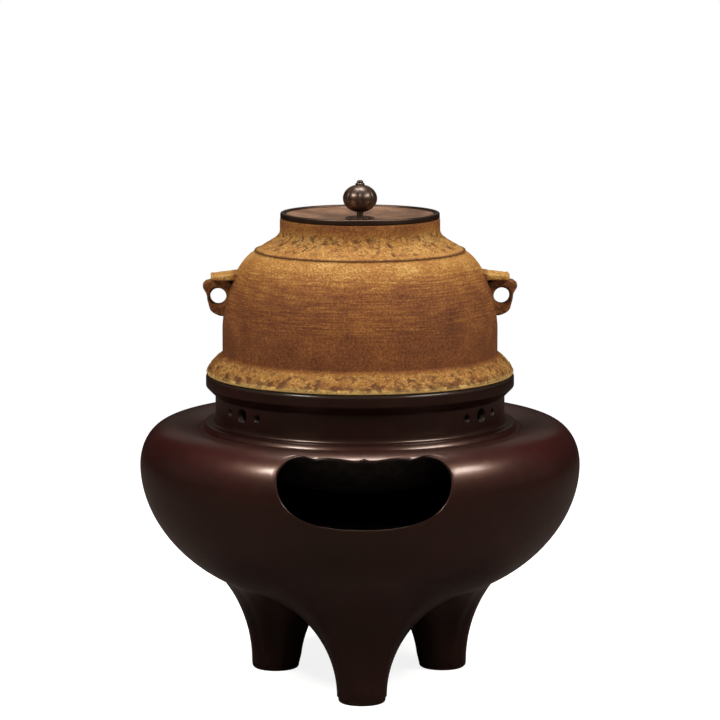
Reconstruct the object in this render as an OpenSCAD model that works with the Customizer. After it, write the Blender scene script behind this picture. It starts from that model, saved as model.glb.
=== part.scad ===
// Three-legged bronze furo brazier with a seated iron kettle and its dished bronze lid.
// Millimetres, +Z up, origin on the floor under the bowl's axis. The fire window faces -Y.

/* [Brazier bowl] */
// Height of the brazier from the floor to the kettle's seat
furo_h = 234; // [226:0.5:244]
// Diameter of the bowl at its widest ring
belly_d = 329; // [300:1:360]
// Height of the bowl's underside above the floor
bowl_floor_z = 65.5; // [58:0.5:74]
// Radius of the flat middle of the bowl's underside
floor_flat_r = 48; // [42:1:56]
// Rise from the widest ring to the foot of the neck
shoulder_rise = 28; // [26:0.5:32]
// Thickness of the cast bronze wall
wall = 5; // [4:0.5:6.5]
// Length over which the wall stays steep below the widest ring
belly_hold_low = 43; // [34:0.5:48]
// Length over which the wall stays steep above the widest ring
belly_hold_high = 20.5; // [16:0.5:24]
// Reach of the shallow curve that starts at the flat underside
base_spread = 76; // [66:1:80]
// Lift of that shallow curve
base_lift = 6; // [4:0.5:10]
// Reach of the nearly flat shoulder outside the neck
shoulder_reach = 30; // [24:1:34]
// Pull of the shoulder's crown above the foot of the neck
shoulder_crown = 12.5; // [9:0.5:15]

/* [Neck and mouth] */
// Outer radius of the upright neck
neck_r = 108; // [105:0.5:111]
// Thickness of the neck's wall
neck_wall = 4.5; // [3.5:0.5:5.5]
// Height from the foot of the neck to the seat of the kettle
neck_h = 40.5; // [37:0.5:46]
// Overhang of the mouth's lip beyond the neck
lip_out = 7; // [5.5:0.5:9]
// Height of the lip's upright face
lip_face_h = 6.5; // [5:0.5:9]
// Height of the sloping underside of the lip
lip_slope_h = 7; // [5:0.5:9]
// Rounding of the lip's top edge
lip_round = 3; // [1.5:0.5:3.5]
// Reach of the ring moulding at the foot of the neck beyond the neck
foot_ring_out = 10; // [7:0.5:11.5]
// Height of that ring moulding
foot_ring_h = 4; // [3:0.5:5.5]
// Width of the groove between ring moulding and shoulder
groove_w = 2; // [1:0.5:3]

/* [Smoke holes in the neck] */
// Radius of the large hole of each trio
vent_r = 5; // [4:0.5:6]
// Radius of the two small holes beside it
side_vent_r = 2.7; // [2:0.1:3.4]
// Angle from the large hole to each small one
vent_step = 9; // [8:0.5:11]
// Turn of the two front trios from the front
vent_turn = 54; // [45:1:65]
// Height of the holes above the foot of the neck
vent_rise = 17.5; // [15:0.5:19]

/* [Fire window] */
// Width of the fire window
window_w = 123.5; // [108:0.5:132]
// Height of the fire window across its tilted face
window_h = 52.5; // [46:0.5:54]
// Drop of the window's sill below the widest ring
sill_drop = 20; // [18:0.5:28]
// Upward tilt of the window's axis in degrees
window_tilt = 20; // [16:1:24]
// Distance of each raised brow corner from the middle
brow_corner_x = 44; // [38:0.5:48]
// Distance of each cusp beside a brow corner from the middle
brow_cusp_x = 34.5; // [30:0.5:36]
// Depth of each cusp below the brow corners
brow_cusp_drop = 4; // [3:0.5:5]
// Depth of the brow's sag below the brow corners
brow_sag_drop = 5.4; // [4.5:0.1:6.5]
// Distance of the lowest points of the sag from the middle
brow_sag_x = 8; // [6:0.5:12]
// Depth of the middle point below the brow corners
brow_point_drop = 3.6; // [2.5:0.1:4.4]

/* [Legs] */
// Radius of the circle that the three legs stand on
leg_circle_r = 73.6; // [66:0.2:80]
// Radius of each foot
foot_r = 17.5; // [15:0.5:20]
// Rounding of the foot's lower edge
foot_round = 2; // [1:0.5:3]
// Height at which the leg starts to flare
leg_flare_z = 14; // [8:1:20]
// Radius of the leg's flare at the bowl
leg_flare_r = 62; // [54:0.5:63]
// Share of the lower wall's curve at which the leg's outer side leaves the bowl
leg_blend_share = 0.47; // [0.44:0.01:0.49]

/* [Fire bed] */
// Thickness of the clay tile on the bowl's floor
tile_t = 8; // [6:0.5:10]
// Radius of the clay tile
tile_r = 44; // [36:1:46]
// Depth of ash from the bowl's inner floor to its level middle
ash_depth = 19; // [16:0.5:24]
// Radius of the level middle of the ash
ash_level_r = 66; // [60:1:74]
// Share of the lower wall's curve that the ash reaches up to
ash_reach = 0.4; // [0.36:0.01:0.44]
// Gap between ash and metal or clay
ash_gap = 0.3; // [0.2:0.1:0.6]
// Radius of the split charcoal sticks
charcoal_r = 16; // [12:0.5:18]
// Length of the split charcoal sticks
charcoal_l = 46; // [38:1:52]
// Distance of each stick from the bowl's axis
charcoal_ring_r = 36; // [34:0.5:40]

/* [Kettle] */
// Inset of the kettle's upright wall from the neck's outer face
kettle_in = 5.5; // [2:0.5:9]
// Thickness of the cast iron wall
kettle_wall = 4.5; // [3.5:0.5:6]
// Inset of the kettle's seating flange from the lip's edge
flange_inset = 0.5; // [0:0.5:2]
// Height of the flange where it runs into the wall
flange_h = 15; // [12:0.5:18]
// Height from the flange's seat to the kettle's rim
kettle_h = 115.5; // [108:0.5:124]
// Height of the upright collar below the rim
collar_h = 8.5; // [6:0.5:11]
// Outer radius of the collar
collar_r = 59.5; // [56:0.5:62]
// Thickness of the collar
collar_wall = 5.5; // [4.5:0.5:6.5]
// Radius of the raised line round the shoulder
line_r = 78; // [76:0.5:81]
// Drop of that line below the rim
line_drop = 24.5; // [22:0.5:27]
// Height of the raised line
line_h = 0.6; // [0.4:0.1:1]
// Height at which the upright wall turns into the shoulder
shoulder_start = 32; // [28:0.5:38]
// Depth of the kettle below its flange
kettle_depth = 84; // [72:1:92]
// Radius of the flat middle of the kettle's bottom
kettle_flat_r = 34; // [28:1:40]
// Radial gap between the hanging kettle and the neck
kettle_gap = 4; // [2.5:0.5:6]

/* [Lugs] */
// Height of the ring hole above the flange's seat
lug_hole_z = 57.5; // [56:0.5:59]
// Radius of the ring hole
lug_hole_r = 5.9; // [5.2:0.1:6.3]
// Metal between the ring hole and the kettle's wall
lug_web = 0.6; // [0.5:0.1:1.4]
// Metal of the ring outside its hole
lug_ring_t = 2.8; // [2.5:0.1:3.6]
// Reach of the nose beyond the hole
lug_nose_t = 6; // [5.2:0.1:6.8]
// Width of the lug round its hole
lug_w = 16; // [14:0.5:20]
// Width of the brow plate over the lug
lug_brow_w = 32; // [28:0.5:36]
// Thickness of the brow plate
lug_brow_t = 4.5; // [3.5:0.5:6]
// Height from the hole to the top of the brow plate at the wall
lug_brow_rise = 20; // [19:0.5:22]
// Drop from the hole to the lug's chin
lug_chin_drop = 15.5; // [14:0.5:18]

/* [Sounding plates] */
// Length of each iron plate fixed inside the kettle's bottom
plate_l = 20; // [14:0.5:22]
// Width of each plate
plate_w = 11; // [8:0.5:13]
// Thickness of each plate
plate_t = 2; // [1.5:0.1:3]
// Distance of each plate from the axis
plate_ring_r = 17; // [15:0.5:19]

/* [Lid] */
// Outer radius of the lid
lid_r = 59.2; // [57:0.1:61]
// Height of the lid's rim above its seat
lid_rim_h = 4.2; // [3.2:0.1:5]
// Width of the raised rim
lid_rim_w = 3.2; // [2.5:0.1:4.5]
// Thickness of the lid's plate
lid_plate_t = 2.7; // [2.2:0.1:3.5]
// Depth of the dished middle below the rim's top
dish_depth = 5.2; // [4.6:0.1:6]
// Radius of the flat middle that carries the knob
lid_flat_r = 13; // [12:0.5:16]
// Depth of the locating skirt below the seat
skirt_h = 4; // [3:0.5:6]
// Radial gap between skirt and kettle mouth
skirt_gap = 1; // [0.6:0.1:2]

/* [Knob] */
// Radius of the petalled seat under the knob
seat_r = 10.5; // [9.5:0.1:11.5]
// Thickness of that seat
seat_t = 1.8; // [1.5:0.1:3]
// Petals of the seat
seat_petals = 12; // [8:1:16]
// Radius of the knob's pin
pin_r = 2.4; // [2:0.1:3]
// Radial gap round the pin
pin_gap = 0.15; // [0.1:0.05:0.3]
// Free length of pin between seat and ball
neck_gap_h = 3.7; // [3:0.1:5.5]
// Radius of the lobed ball
ball_r = 12.9; // [11.5:0.1:14]
// Height of the lobed ball
ball_h = 19.8; // [18:0.1:22]
// Lobes of the ball
ball_lobes = 8; // [6:1:12]
// Radius of the grooves between lobes
lobe_groove_r = 1.6; // [1.2:0.1:2.2]
// Depth of the grooves between lobes
lobe_groove_depth = 0.8; // [0.4:0.1:1]
// Radius of the bud that heads the pin
bud_r = 3.5; // [3.4:0.1:4.4]
// Height of the bud
bud_h = 3.8; // [3:0.1:5]
// Radius of the washer under the lid
washer_r = 6; // [5.2:0.1:7]
// Thickness of the washer
washer_t = 1.2; // [1:0.1:1.6]
// Radius of the pin's peened tail
tail_r = 4.3; // [4:0.1:4.8]
// Thickness of the peened tail
tail_t = 1.2; // [1:0.1:1.6]

/* [Hidden] */
$fn = 96;

// Overshoot of a cutting body past the face it cuts
eps = 1;
bronze = [0.24, 0.13, 0.12];
lid_bronze = [0.30, 0.21, 0.15];
iron = [0.50, 0.34, 0.20];
clay = [0.55, 0.36, 0.26];
ash = [0.62, 0.60, 0.57];
charcoal = [0.10, 0.10, 0.10];

// Heights and radii that follow from the driving sizes
belly_r = belly_d / 2;
seat_z = furo_h;
neck_foot_z = seat_z - neck_h;
belly_z = neck_foot_z - shoulder_rise;
inner_floor_z = bowl_floor_z + wall;
neck_in_r = neck_r - neck_wall;
lip_r = neck_r + lip_out;
foot_ring_r = neck_r + foot_ring_out;
flange_r = lip_r - flange_inset;
shoulder_in_r = foot_ring_r + groove_w;
lip_low_z = seat_z - lip_round - lip_face_h;
ash_z = inner_floor_z + ash_depth;
kettle_r = neck_r - kettle_in;
kettle_low_r = neck_in_r - kettle_gap;
kettle_bottom_z = seat_z - kettle_depth;
rim_z = seat_z + kettle_h;
mouth_in_r = collar_r - collar_wall;
lid_top_z = rim_z + lid_rim_h;
lid_floor_z = lid_top_z - dish_depth;
lid_under_z = lid_floor_z - lid_plate_t;
ball_low_z = lid_floor_z + seat_t + neck_gap_h;
ball_top_z = ball_low_z + ball_h;
third = 120;

// Points of a cubic curve, from its parameter's start to its end
function curve_point(a, b, c, d, t) =
    pow(1 - t, 3) * a + 3 * pow(1 - t, 2) * t * b + 3 * (1 - t) * t * t * c + pow(t, 3) * d;
function curve(a, b, c, d, n, t0 = 0, t1 = 1) =
    [for (i = [0 : n]) curve_point(a, b, c, d, t0 + (t1 - t0) * i / n)];
// Points of an arc in the profile's plane
function arc(centre, r, from, to, n) =
    [for (i = [0 : n]) centre + r * [cos(from + (to - from) * i / n), sin(from + (to - from) * i / n)]];
// A list of points reversed, or moved, or mirrored in the profile's axis
function reversed(points) = [for (i = [len(points) - 1 : -1 : 0]) points[i]];
function moved(points, step) = [for (p = points) p + step];
function mirrored(points) = [for (p = points) [-p[0], p[1]]];

// Lower wall of the bowl, drawn at an inset from the outer face
function lower_wall(inset, n, t1 = 1) = curve(
    [floor_flat_r, bowl_floor_z + inset],
    [floor_flat_r + base_spread - inset / 2, bowl_floor_z + base_lift + inset],
    [belly_r - inset, belly_z - belly_hold_low],
    [belly_r - inset, belly_z], n, 0, t1);
// Shoulder of the bowl, from the widest ring in to the groove at the neck
function shoulder(inset, n) = curve(
    [belly_r - inset, belly_z],
    [belly_r - inset, belly_z + belly_hold_high],
    [shoulder_in_r + shoulder_reach - inset * 0.6, neck_foot_z + shoulder_crown - inset],
    [shoulder_in_r, neck_foot_z - inset], n);

// Outline of ring moulding, neck and lip, from the groove up to the seat
ring_round = foot_ring_h / 2;
neck_outline = concat(
    [[foot_ring_r, neck_foot_z]],
    arc([foot_ring_r - ring_round, neck_foot_z + foot_ring_h - ring_round], ring_round, 0, 90, 4),
    curve([neck_r + foot_ring_h, neck_foot_z + foot_ring_h + ring_round / 4],
        [neck_r + ring_round / 2, neck_foot_z + foot_ring_h + ring_round / 2],
        [neck_r + ring_round / 4, neck_foot_z + foot_ring_h + ring_round],
        [neck_r, neck_foot_z + 2 * foot_ring_h], 4),
    [[neck_r, lip_low_z - lip_slope_h]],
    [[lip_r, lip_low_z]],
    arc([lip_r - lip_round, seat_z - lip_round], lip_round, 0, 90, 4));

// Whole outer form of the bowl, solid
module bowl_outer() {
    rotate_extrude()
        polygon(concat(
            [[0, bowl_floor_z]],
            lower_wall(0, 16),
            shoulder(0, 14),
            neck_outline,
            [[0, seat_z]]));
}

// Hollow of the bowl and its neck
module bowl_hollow() {
    rotate_extrude()
        polygon(concat(
            [[0, inner_floor_z]],
            lower_wall(wall, 12),
            shoulder(wall, 10),
            [[neck_in_r, neck_foot_z - wall], [neck_in_r, seat_z + eps], [0, seat_z + eps]]));
}

// Outline of the fire window from its sill, seen along its tilted axis
window_r = window_w / 2;
window_belly_h = window_h * 2 / 3;
window_right = concat(
    curve([0, 0], [window_r * 0.65, 0], [window_r, window_h * 0.22], [window_r, window_belly_h], 9),
    curve([window_r, window_belly_h], [window_r, window_h * 0.87],
        [(window_r + brow_corner_x) / 2, window_h], [brow_corner_x, window_h], 5),
    curve([brow_corner_x, window_h], [brow_corner_x - brow_cusp_drop, window_h],
        [brow_cusp_x + brow_cusp_drop / 2, window_h - brow_cusp_drop / 4],
        [brow_cusp_x, window_h - brow_cusp_drop], 4),
    curve([brow_cusp_x, window_h - brow_cusp_drop],
        [brow_cusp_x - brow_cusp_drop, window_h - brow_cusp_drop / 2],
        [brow_cusp_x * 2 / 3, window_h - brow_cusp_drop / 2],
        [brow_sag_x, window_h - brow_sag_drop], 4),
    curve([brow_sag_x, window_h - brow_sag_drop], [brow_sag_x / 2, window_h - brow_sag_drop],
        [brow_sag_x / 4, window_h - brow_sag_drop], [0, window_h - brow_point_drop], 3));
// The sill's place along the tilted face: the wall there is a little inside the widest ring
sill_inset = 3;
sill_w = (belly_z - sill_drop) * cos(window_tilt) - (belly_r - sill_inset) * sin(window_tilt);
window_depth = (neck_r + (sill_w + window_h) * sin(window_tilt)) / cos(window_tilt);

// Cutter of the fire window, reaching from outside the bowl to just inside its wall
module window_cutter() {
    rotate([-window_tilt, 0, 0])
        translate([0, -window_depth, sill_w])
            rotate([90, 0, 0])
                linear_extrude(height = belly_r)
                    polygon(concat(window_right, reversed(mirrored(window_right))));
}

// One round hole through the neck at a turn from the front
module vent(turn, r) {
    rotate([0, 0, turn])
        translate([0, -neck_in_r + neck_wall, neck_foot_z + vent_rise])
            rotate([90, 0, 0])
                cylinder(h = 3 * neck_wall, r = r);
}

// A large hole between two small ones
module vent_trio(turn) {
    vent(turn, vent_r);
    for (side = [-1, 1])
        vent(turn + side * vent_step, side_vent_r);
}

module furo_bowl() {
    color(bronze)
        difference() {
            bowl_outer();
            bowl_hollow();
            window_cutter();
            for (turn = [-vent_turn, vent_turn, 180])
                vent_trio(turn);
        }
}

// Round form about the bowl's axis that carries the bowl's curve down the legs' outer sides
leg_rise = bowl_floor_z - leg_flare_z;
leg_outer_r = leg_circle_r + foot_r + foot_round / 2;
leg_top_z = bowl_floor_z + 2 * base_lift;
blend_point = lower_wall(0, 1, leg_blend_share)[1];
skirt_end = blend_point + [wall * 0.5, wall * 0.6];
leg_skirt = concat(
    [[0, 0], [leg_outer_r, 0]],
    curve([leg_outer_r, leg_flare_z * 0.7], [leg_outer_r + foot_round, leg_flare_z + leg_rise * 0.6],
        [leg_outer_r + (blend_point[0] - leg_outer_r) * 0.53, leg_top_z], blend_point, 10),
    [skirt_end, [0, skirt_end[1]]]);

// Trumpet of a leg about its own axis, from the foot to above the bowl's underside
leg_trumpet = concat(
    [[0, 0]],
    arc([foot_r - foot_round, foot_round], foot_round, -90, 0, 3),
    curve([foot_r, leg_flare_z], [foot_r + foot_round, leg_flare_z + leg_rise * 0.43],
        [(foot_r + leg_flare_r) * 0.43, leg_flare_z + leg_rise * 0.7],
        [leg_flare_r, leg_top_z], 14),
    [[leg_flare_r * 1.16, blend_point[1] * 0.89], [leg_flare_r * 1.3, blend_point[1]]],
    [[leg_flare_r * 1.3, belly_z], [0, belly_z]]);

// One flared leg, coped to the bowl's underside and turned to its place
module leg(turn) {
    color(bronze)
        rotate([0, 0, turn])
            difference() {
                intersection() {
                    translate([0, -leg_circle_r, 0])
                        rotate_extrude()
                            polygon(leg_trumpet);
                    rotate_extrude()
                        polygon(leg_skirt);
                }
                bowl_outer();
            }
}

module leg_front() { leg(0); }
module leg_left() { leg(-third); }
module leg_right() { leg(third); }

module bottom_tile() {
    color(clay)
        translate([0, 0, inner_floor_z])
            cylinder(h = tile_t, r = tile_r);
}

// Ash round and over the tile, level in the middle and banked up to the wall
ash_wall = lower_wall(wall, 8, ash_reach);
ash_edge = ash_wall[len(ash_wall) - 1];
module ash_bed() {
    color(ash)
        difference() {
            rotate_extrude()
                polygon(concat(
                    [[0, inner_floor_z], [floor_flat_r - 2 * ash_gap, inner_floor_z]],
                    moved(ash_wall, [-ash_gap, ash_gap]),
                    curve(ash_edge + [-2 * ash_gap, ash_gap], ash_edge + [-ash_depth, -ash_gap],
                        [ash_level_r + ash_depth, ash_z], [ash_level_r, ash_z], 6),
                    [[0, ash_z]]));
            translate([0, 0, inner_floor_z - eps])
                cylinder(h = tile_t + eps, r = tile_r + ash_gap);
        }
}

// One split stick of charcoal, flat side down on the ash
module charcoal_stick(turn) {
    color(charcoal)
        rotate([0, 0, turn])
            translate([0, -charcoal_ring_r, ash_z])
                intersection() {
                    rotate([0, 90, 0])
                        cylinder(h = charcoal_l, r = charcoal_r, center = true);
                    translate([-charcoal_l, -2 * charcoal_r, 0])
                        cube([2 * charcoal_l, 4 * charcoal_r, 2 * charcoal_r]);
                }
}

module charcoal_front() { charcoal_stick(0); }
module charcoal_left() { charcoal_stick(-third); }
module charcoal_right() { charcoal_stick(third); }

// Kettle above its flange: flange, upright wall, shoulder, raised line, flare and collar
line_z = rim_z - line_drop;
collar_low_z = rim_z - collar_h;
flange_lip_h = 2;
function kettle_shoulder(inset, n) = curve(
    [kettle_r - inset, seat_z + shoulder_start],
    [kettle_r - inset, line_z - line_drop * 1.65 - inset],
    [line_r + line_drop * 0.65 - inset * 0.7, line_z - line_drop / 3 - inset * 0.7],
    [line_r - inset * 0.8, line_z - inset], n);
function kettle_flare(inset, n) = curve(
    [line_r - 1.5 * line_h - inset * 0.8, line_z + 2 * line_h - inset],
    [line_r - line_drop / 2 - inset * 0.7, line_z + line_drop / 3 - inset * 0.7],
    [collar_r - inset, collar_low_z - collar_h * 0.7],
    [collar_r - inset, collar_low_z], n);
function kettle_belly(inset, n) = curve(
    [kettle_low_r - inset, seat_z - flange_h],
    [kettle_low_r - inset, kettle_bottom_z + flange_h * 1.6],
    [kettle_flat_r + kettle_depth * 0.45, kettle_bottom_z + inset],
    [kettle_flat_r, kettle_bottom_z + inset], n);

module kettle_outer() {
    rotate_extrude()
        polygon(concat(
            [[0, kettle_bottom_z]],
            reversed(kettle_belly(0, 12)),
            [[kettle_low_r, seat_z], [flange_r, seat_z]],
            curve([flange_r, seat_z + flange_lip_h], [flange_r - flange_lip_h, seat_z + flange_h * 0.4],
                [kettle_r + flange_h * 0.4, seat_z + flange_h * 0.75],
                [kettle_r, seat_z + flange_h], 6),
            kettle_shoulder(0, 12),
            [[line_r + line_h, line_z + line_h]],
            kettle_flare(0, 8),
            [[collar_r, rim_z], [0, rim_z]]));
}

module kettle_body() {
    color(iron)
        difference() {
            kettle_outer();
            rotate_extrude()
                polygon(concat(
                    [[0, kettle_bottom_z + kettle_wall]],
                    reversed(kettle_belly(kettle_wall, 10)),
                    [[kettle_low_r - kettle_wall, seat_z]],
                    [[kettle_r - kettle_wall, seat_z + flange_h]],
                    kettle_shoulder(kettle_wall, 8),
                    kettle_flare(collar_wall, 6),
                    [[mouth_in_r, rim_z + eps], [0, rim_z + eps]]));
        }
}

// Ring lug: a nosed ring round its hole, under a wider brow plate with a nib along its outer edge
lug_wall_inset = 3.6;
brow_slope = 3;
brow_nib = 0.8;
lug_hole_x = kettle_r - lug_wall_inset + lug_web + lug_hole_r;
lug_ring_x = lug_hole_x + lug_hole_r + lug_ring_t;
lug_nose_x = lug_hole_x + lug_hole_r + lug_nose_t;
lug_brow_x = lug_nose_x - lug_nose_t;
lug_root_x = kettle_r - 4 * lug_nose_t;
lug_mid_z = seat_z + lug_hole_z;
lug_nose_z = lug_mid_z + lug_hole_r + lug_ring_t / 2;
lug_chin_z = lug_mid_z - lug_chin_drop;
lug_top_z = lug_mid_z + lug_brow_rise;
lug_neck_z = lug_top_z - lug_brow_t - brow_slope;
lug_side = concat(
    [[lug_root_x, lug_chin_z]],
    curve([kettle_r - eps, lug_chin_z],
        [lug_ring_x - lug_ring_t / 2, lug_chin_z],
        [lug_ring_x - lug_ring_t, lug_mid_z - lug_hole_r],
        [lug_ring_x, lug_mid_z], 8),
    curve([lug_ring_x, lug_mid_z],
        [lug_ring_x, lug_mid_z + lug_ring_t],
        [lug_nose_x, lug_mid_z + lug_hole_r],
        [lug_nose_x, lug_nose_z], 4),
    curve([lug_nose_x, lug_nose_z],
        [lug_nose_x, lug_neck_z - eps],
        [lug_brow_x + lug_nose_t / 2, lug_neck_z - eps / 2],
        [lug_brow_x - lug_nose_t / 4, lug_neck_z], 5),
    [[lug_brow_x - lug_nose_t, lug_neck_z + eps], [lug_root_x, lug_neck_z + eps]]);
lug_brow = [
    [lug_root_x, lug_neck_z],
    [lug_brow_x, lug_neck_z],
    [lug_brow_x, lug_top_z - brow_slope + brow_nib],
    [lug_brow_x - 3 * brow_nib, lug_top_z - brow_slope],
    [lug_root_x, lug_top_z]];

// A side outline set upright in the plane of the lug and given a width
module lug_slab(outline, width) {
    translate([0, width / 2, 0])
        rotate([90, 0, 0])
            linear_extrude(height = width)
                polygon(outline);
}

module lug() {
    color(iron)
        difference() {
            union() {
                lug_slab(lug_side, lug_w);
                lug_slab(lug_brow, lug_brow_w);
            }
            kettle_outer();
            translate([lug_hole_x, lug_brow_w, lug_mid_z])
                rotate([90, 0, 0])
                    cylinder(h = 2 * lug_brow_w, r = lug_hole_r);
        }
}

module lug_right() { lug(); }
module lug_left() { rotate([0, 0, 180]) lug(); }

// Three iron plates fixed flat inside the kettle's bottom, which make it sing
module sounding_plates() {
    color(iron)
        for (turn = [0, third, 2 * third])
            rotate([0, 0, turn])
                translate([plate_ring_r - plate_w / 2, -plate_l / 2, kettle_bottom_z + kettle_wall])
                    cube([plate_w, plate_l, plate_t]);
}

// Dished lid with a raised rim and a locating skirt inside the kettle's mouth
skirt_r = mouth_in_r - skirt_gap;
rim_round = lid_rim_w / 3;
module lid_plate() {
    color(lid_bronze)
        rotate_extrude()
            polygon(concat(
                [[pin_r + pin_gap, lid_floor_z], [pin_r + pin_gap, lid_under_z], [washer_r + eps, lid_under_z]],
                [[skirt_r - 2 * lid_plate_t, lid_under_z], [skirt_r - lid_plate_t, rim_z - skirt_h]],
                [[skirt_r, rim_z - skirt_h], [skirt_r, rim_z], [lid_r, rim_z]],
                arc([lid_r - rim_round, lid_top_z - rim_round], rim_round, 0, 90, 3),
                [[lid_r - lid_rim_w, lid_top_z]],
                curve([lid_r - lid_rim_w - rim_round, lid_top_z - rim_round],
                    [lid_r - 3 * lid_rim_w, lid_floor_z + rim_round],
                    [2 * lid_flat_r, lid_floor_z], [lid_flat_r, lid_floor_z], 6)));
}

// Petalled disc between lid and knob
petal_r = seat_r * sin(180 / seat_petals) / (1 + sin(180 / seat_petals));
module knob_seat() {
    color(lid_bronze)
        translate([0, 0, lid_floor_z])
            difference() {
                union() {
                    cylinder(h = seat_t, r = seat_r - petal_r);
                    for (i = [0 : seat_petals - 1])
                        rotate([0, 0, i * 360 / seat_petals])
                            translate([seat_r - petal_r, 0, 0])
                                cylinder(h = seat_t * 0.8, r = petal_r);
                }
                translate([0, 0, -eps])
                    cylinder(h = seat_t + 2 * eps, r = pin_r + pin_gap);
            }
}

// Flattened lobed ball, drilled for the pin
ball_bore_r = pin_r + pin_gap;
bud_land = 0.4;
ball_end_r = bud_r + bud_land;
ball_mid_z = (ball_low_z + ball_top_z) / 2;
ball_end_angle = acos(ball_end_r / ball_r);
module knob_ball() {
    color(lid_bronze)
        difference() {
            rotate_extrude()
                polygon(concat(
                    [[ball_bore_r, ball_low_z]],
                    [for (i = [-7 : 7])
                        let (a = i * ball_end_angle / 7)
                        [ball_r * cos(a), ball_mid_z + ball_h / 2 * sin(a) / sin(ball_end_angle)]],
                    [[ball_bore_r, ball_top_z]]));
            for (i = [0 : ball_lobes - 1])
                rotate([0, 0, i * 360 / ball_lobes - 90])
                    translate([ball_r + lobe_groove_r - lobe_groove_depth, 0, ball_low_z - eps])
                        cylinder(h = ball_h + 2 * eps, r = lobe_groove_r);
        }
}

// Pin with a bud for its head, peened over the washer under the lid
module knob_pin() {
    color(lid_bronze)
        rotate_extrude()
            polygon(concat(
                [[0, lid_under_z - washer_t - tail_t]],
                [[tail_r - tail_t / 2, lid_under_z - washer_t - tail_t], [tail_r, lid_under_z - washer_t - tail_t / 2]],
                [[tail_r, lid_under_z - washer_t], [pin_r, lid_under_z - washer_t], [pin_r, ball_top_z]],
                curve([bud_r - eps / 4, ball_top_z], [bud_r + eps / 4, ball_top_z + bud_h / 3],
                    [bud_r, ball_top_z + bud_h * 2 / 3], [eps / 2, ball_top_z + bud_h], 6),
                [[0, ball_top_z + bud_h]]));
}

module pin_washer() {
    color(lid_bronze)
        translate([0, 0, lid_under_z - washer_t])
            difference() {
                cylinder(h = washer_t, r = washer_r);
                translate([0, 0, -eps])
                    cylinder(h = washer_t + 2 * eps, r = pin_r + pin_gap);
            }
}

furo_bowl();
leg_front();
leg_left();
leg_right();
bottom_tile();
ash_bed();
charcoal_front();
charcoal_left();
charcoal_right();
kettle_body();
lug_left();
lug_right();
sounding_plates();
lid_plate();
knob_seat();
knob_ball();
knob_pin();
pin_washer();
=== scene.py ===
"""Dressed scene of a three-legged bronze tea brazier with its seated iron kettle and bronze lid."""

import logging
import math
from dataclasses import dataclass
from enum import Enum
from typing import Callable, Sequence

import bmesh
import bpy
import numpy as np
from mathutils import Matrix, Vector, noise

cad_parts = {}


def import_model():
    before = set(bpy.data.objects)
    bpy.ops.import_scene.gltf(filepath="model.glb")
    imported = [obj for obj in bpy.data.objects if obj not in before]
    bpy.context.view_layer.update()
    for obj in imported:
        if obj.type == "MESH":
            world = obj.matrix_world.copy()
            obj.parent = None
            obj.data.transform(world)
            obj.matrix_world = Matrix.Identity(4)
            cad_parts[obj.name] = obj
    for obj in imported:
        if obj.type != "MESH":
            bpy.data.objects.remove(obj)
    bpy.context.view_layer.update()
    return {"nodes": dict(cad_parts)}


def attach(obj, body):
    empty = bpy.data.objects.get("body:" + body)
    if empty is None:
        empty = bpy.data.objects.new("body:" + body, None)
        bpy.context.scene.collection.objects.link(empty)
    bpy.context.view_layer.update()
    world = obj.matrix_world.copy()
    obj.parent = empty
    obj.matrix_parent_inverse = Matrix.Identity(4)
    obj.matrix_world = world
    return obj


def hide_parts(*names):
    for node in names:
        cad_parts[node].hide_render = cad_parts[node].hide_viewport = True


LOG = logging.getLogger("brazier")
MM = 0.001
TINY = 1e-6

Faces = list[tuple[int, ...]]
Pair = tuple[float, float]
Triple = tuple[float, float, float]
Colour = tuple[float, float, float, float]
Point = Sequence[float]
Tree = bpy.types.NodeTree
Node = bpy.types.Node
Socket = bpy.types.NodeSocket
Material = bpy.types.Material
Piece = bpy.types.Object


class LegPlace(Enum):
    """The brazier's three legs: the node each one replaces and its turn from the front in degrees."""

    FRONT = ("leg_front", 0.0)
    LEFT = ("leg_left", -120.0)
    RIGHT = ("leg_right", 120.0)


class StickPlace(Enum):
    """The three split charcoal sticks: the node each one replaces and its turn in degrees."""

    FRONT = ("charcoal_front", 0.0)
    LEFT = ("charcoal_left", -120.0)
    RIGHT = ("charcoal_right", 120.0)


class LugSide(Enum):
    """The kettle's two ring lugs: the node each one replaces and its turn in degrees."""

    RIGHT = ("lug_right", 0.0)
    LEFT = ("lug_left", 180.0)


# Plane curves, in millimetres


def cubic(a: Point, b: Point, c: Point, d: Point, count: int) -> np.ndarray:
    """Points along a cubic curve with four control points, in count steps."""
    t = np.linspace(0.0, 1.0, count + 1)[:, None]
    a, b, c, d = (np.asarray(p, float) for p in (a, b, c, d))
    return (1 - t) ** 3 * a + 3 * (1 - t) ** 2 * t * b + 3 * (1 - t) * t * t * c + t ** 3 * d


def arc(centre: Point, radius: float, start: float, end: float, count: int) -> np.ndarray:
    """Points along an arc between two angles in degrees, in count steps."""
    angles = np.radians(np.linspace(start, end, count + 1))
    return np.asarray(centre, float) + radius * np.column_stack([np.cos(angles), np.sin(angles)])


def line(a: Point, b: Point, count: int) -> np.ndarray:
    """Evenly spaced points from a to b, in count steps."""
    return np.linspace(np.asarray(a, float), np.asarray(b, float), count + 1)


def lengths(points: np.ndarray) -> np.ndarray:
    """Distance along a chain of points, from its first to each one."""
    steps = np.linalg.norm(np.diff(points, axis=0), axis=1)
    return np.concatenate([[0.0], np.cumsum(steps)])


def spread(points: np.ndarray, count: int) -> np.ndarray:
    """The same chain with count even steps along its length."""
    along = lengths(points)
    wanted = np.linspace(0.0, along[-1], count + 1)
    return np.column_stack([np.interp(wanted, along, points[:, i]) for i in range(points.shape[1])])


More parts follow.
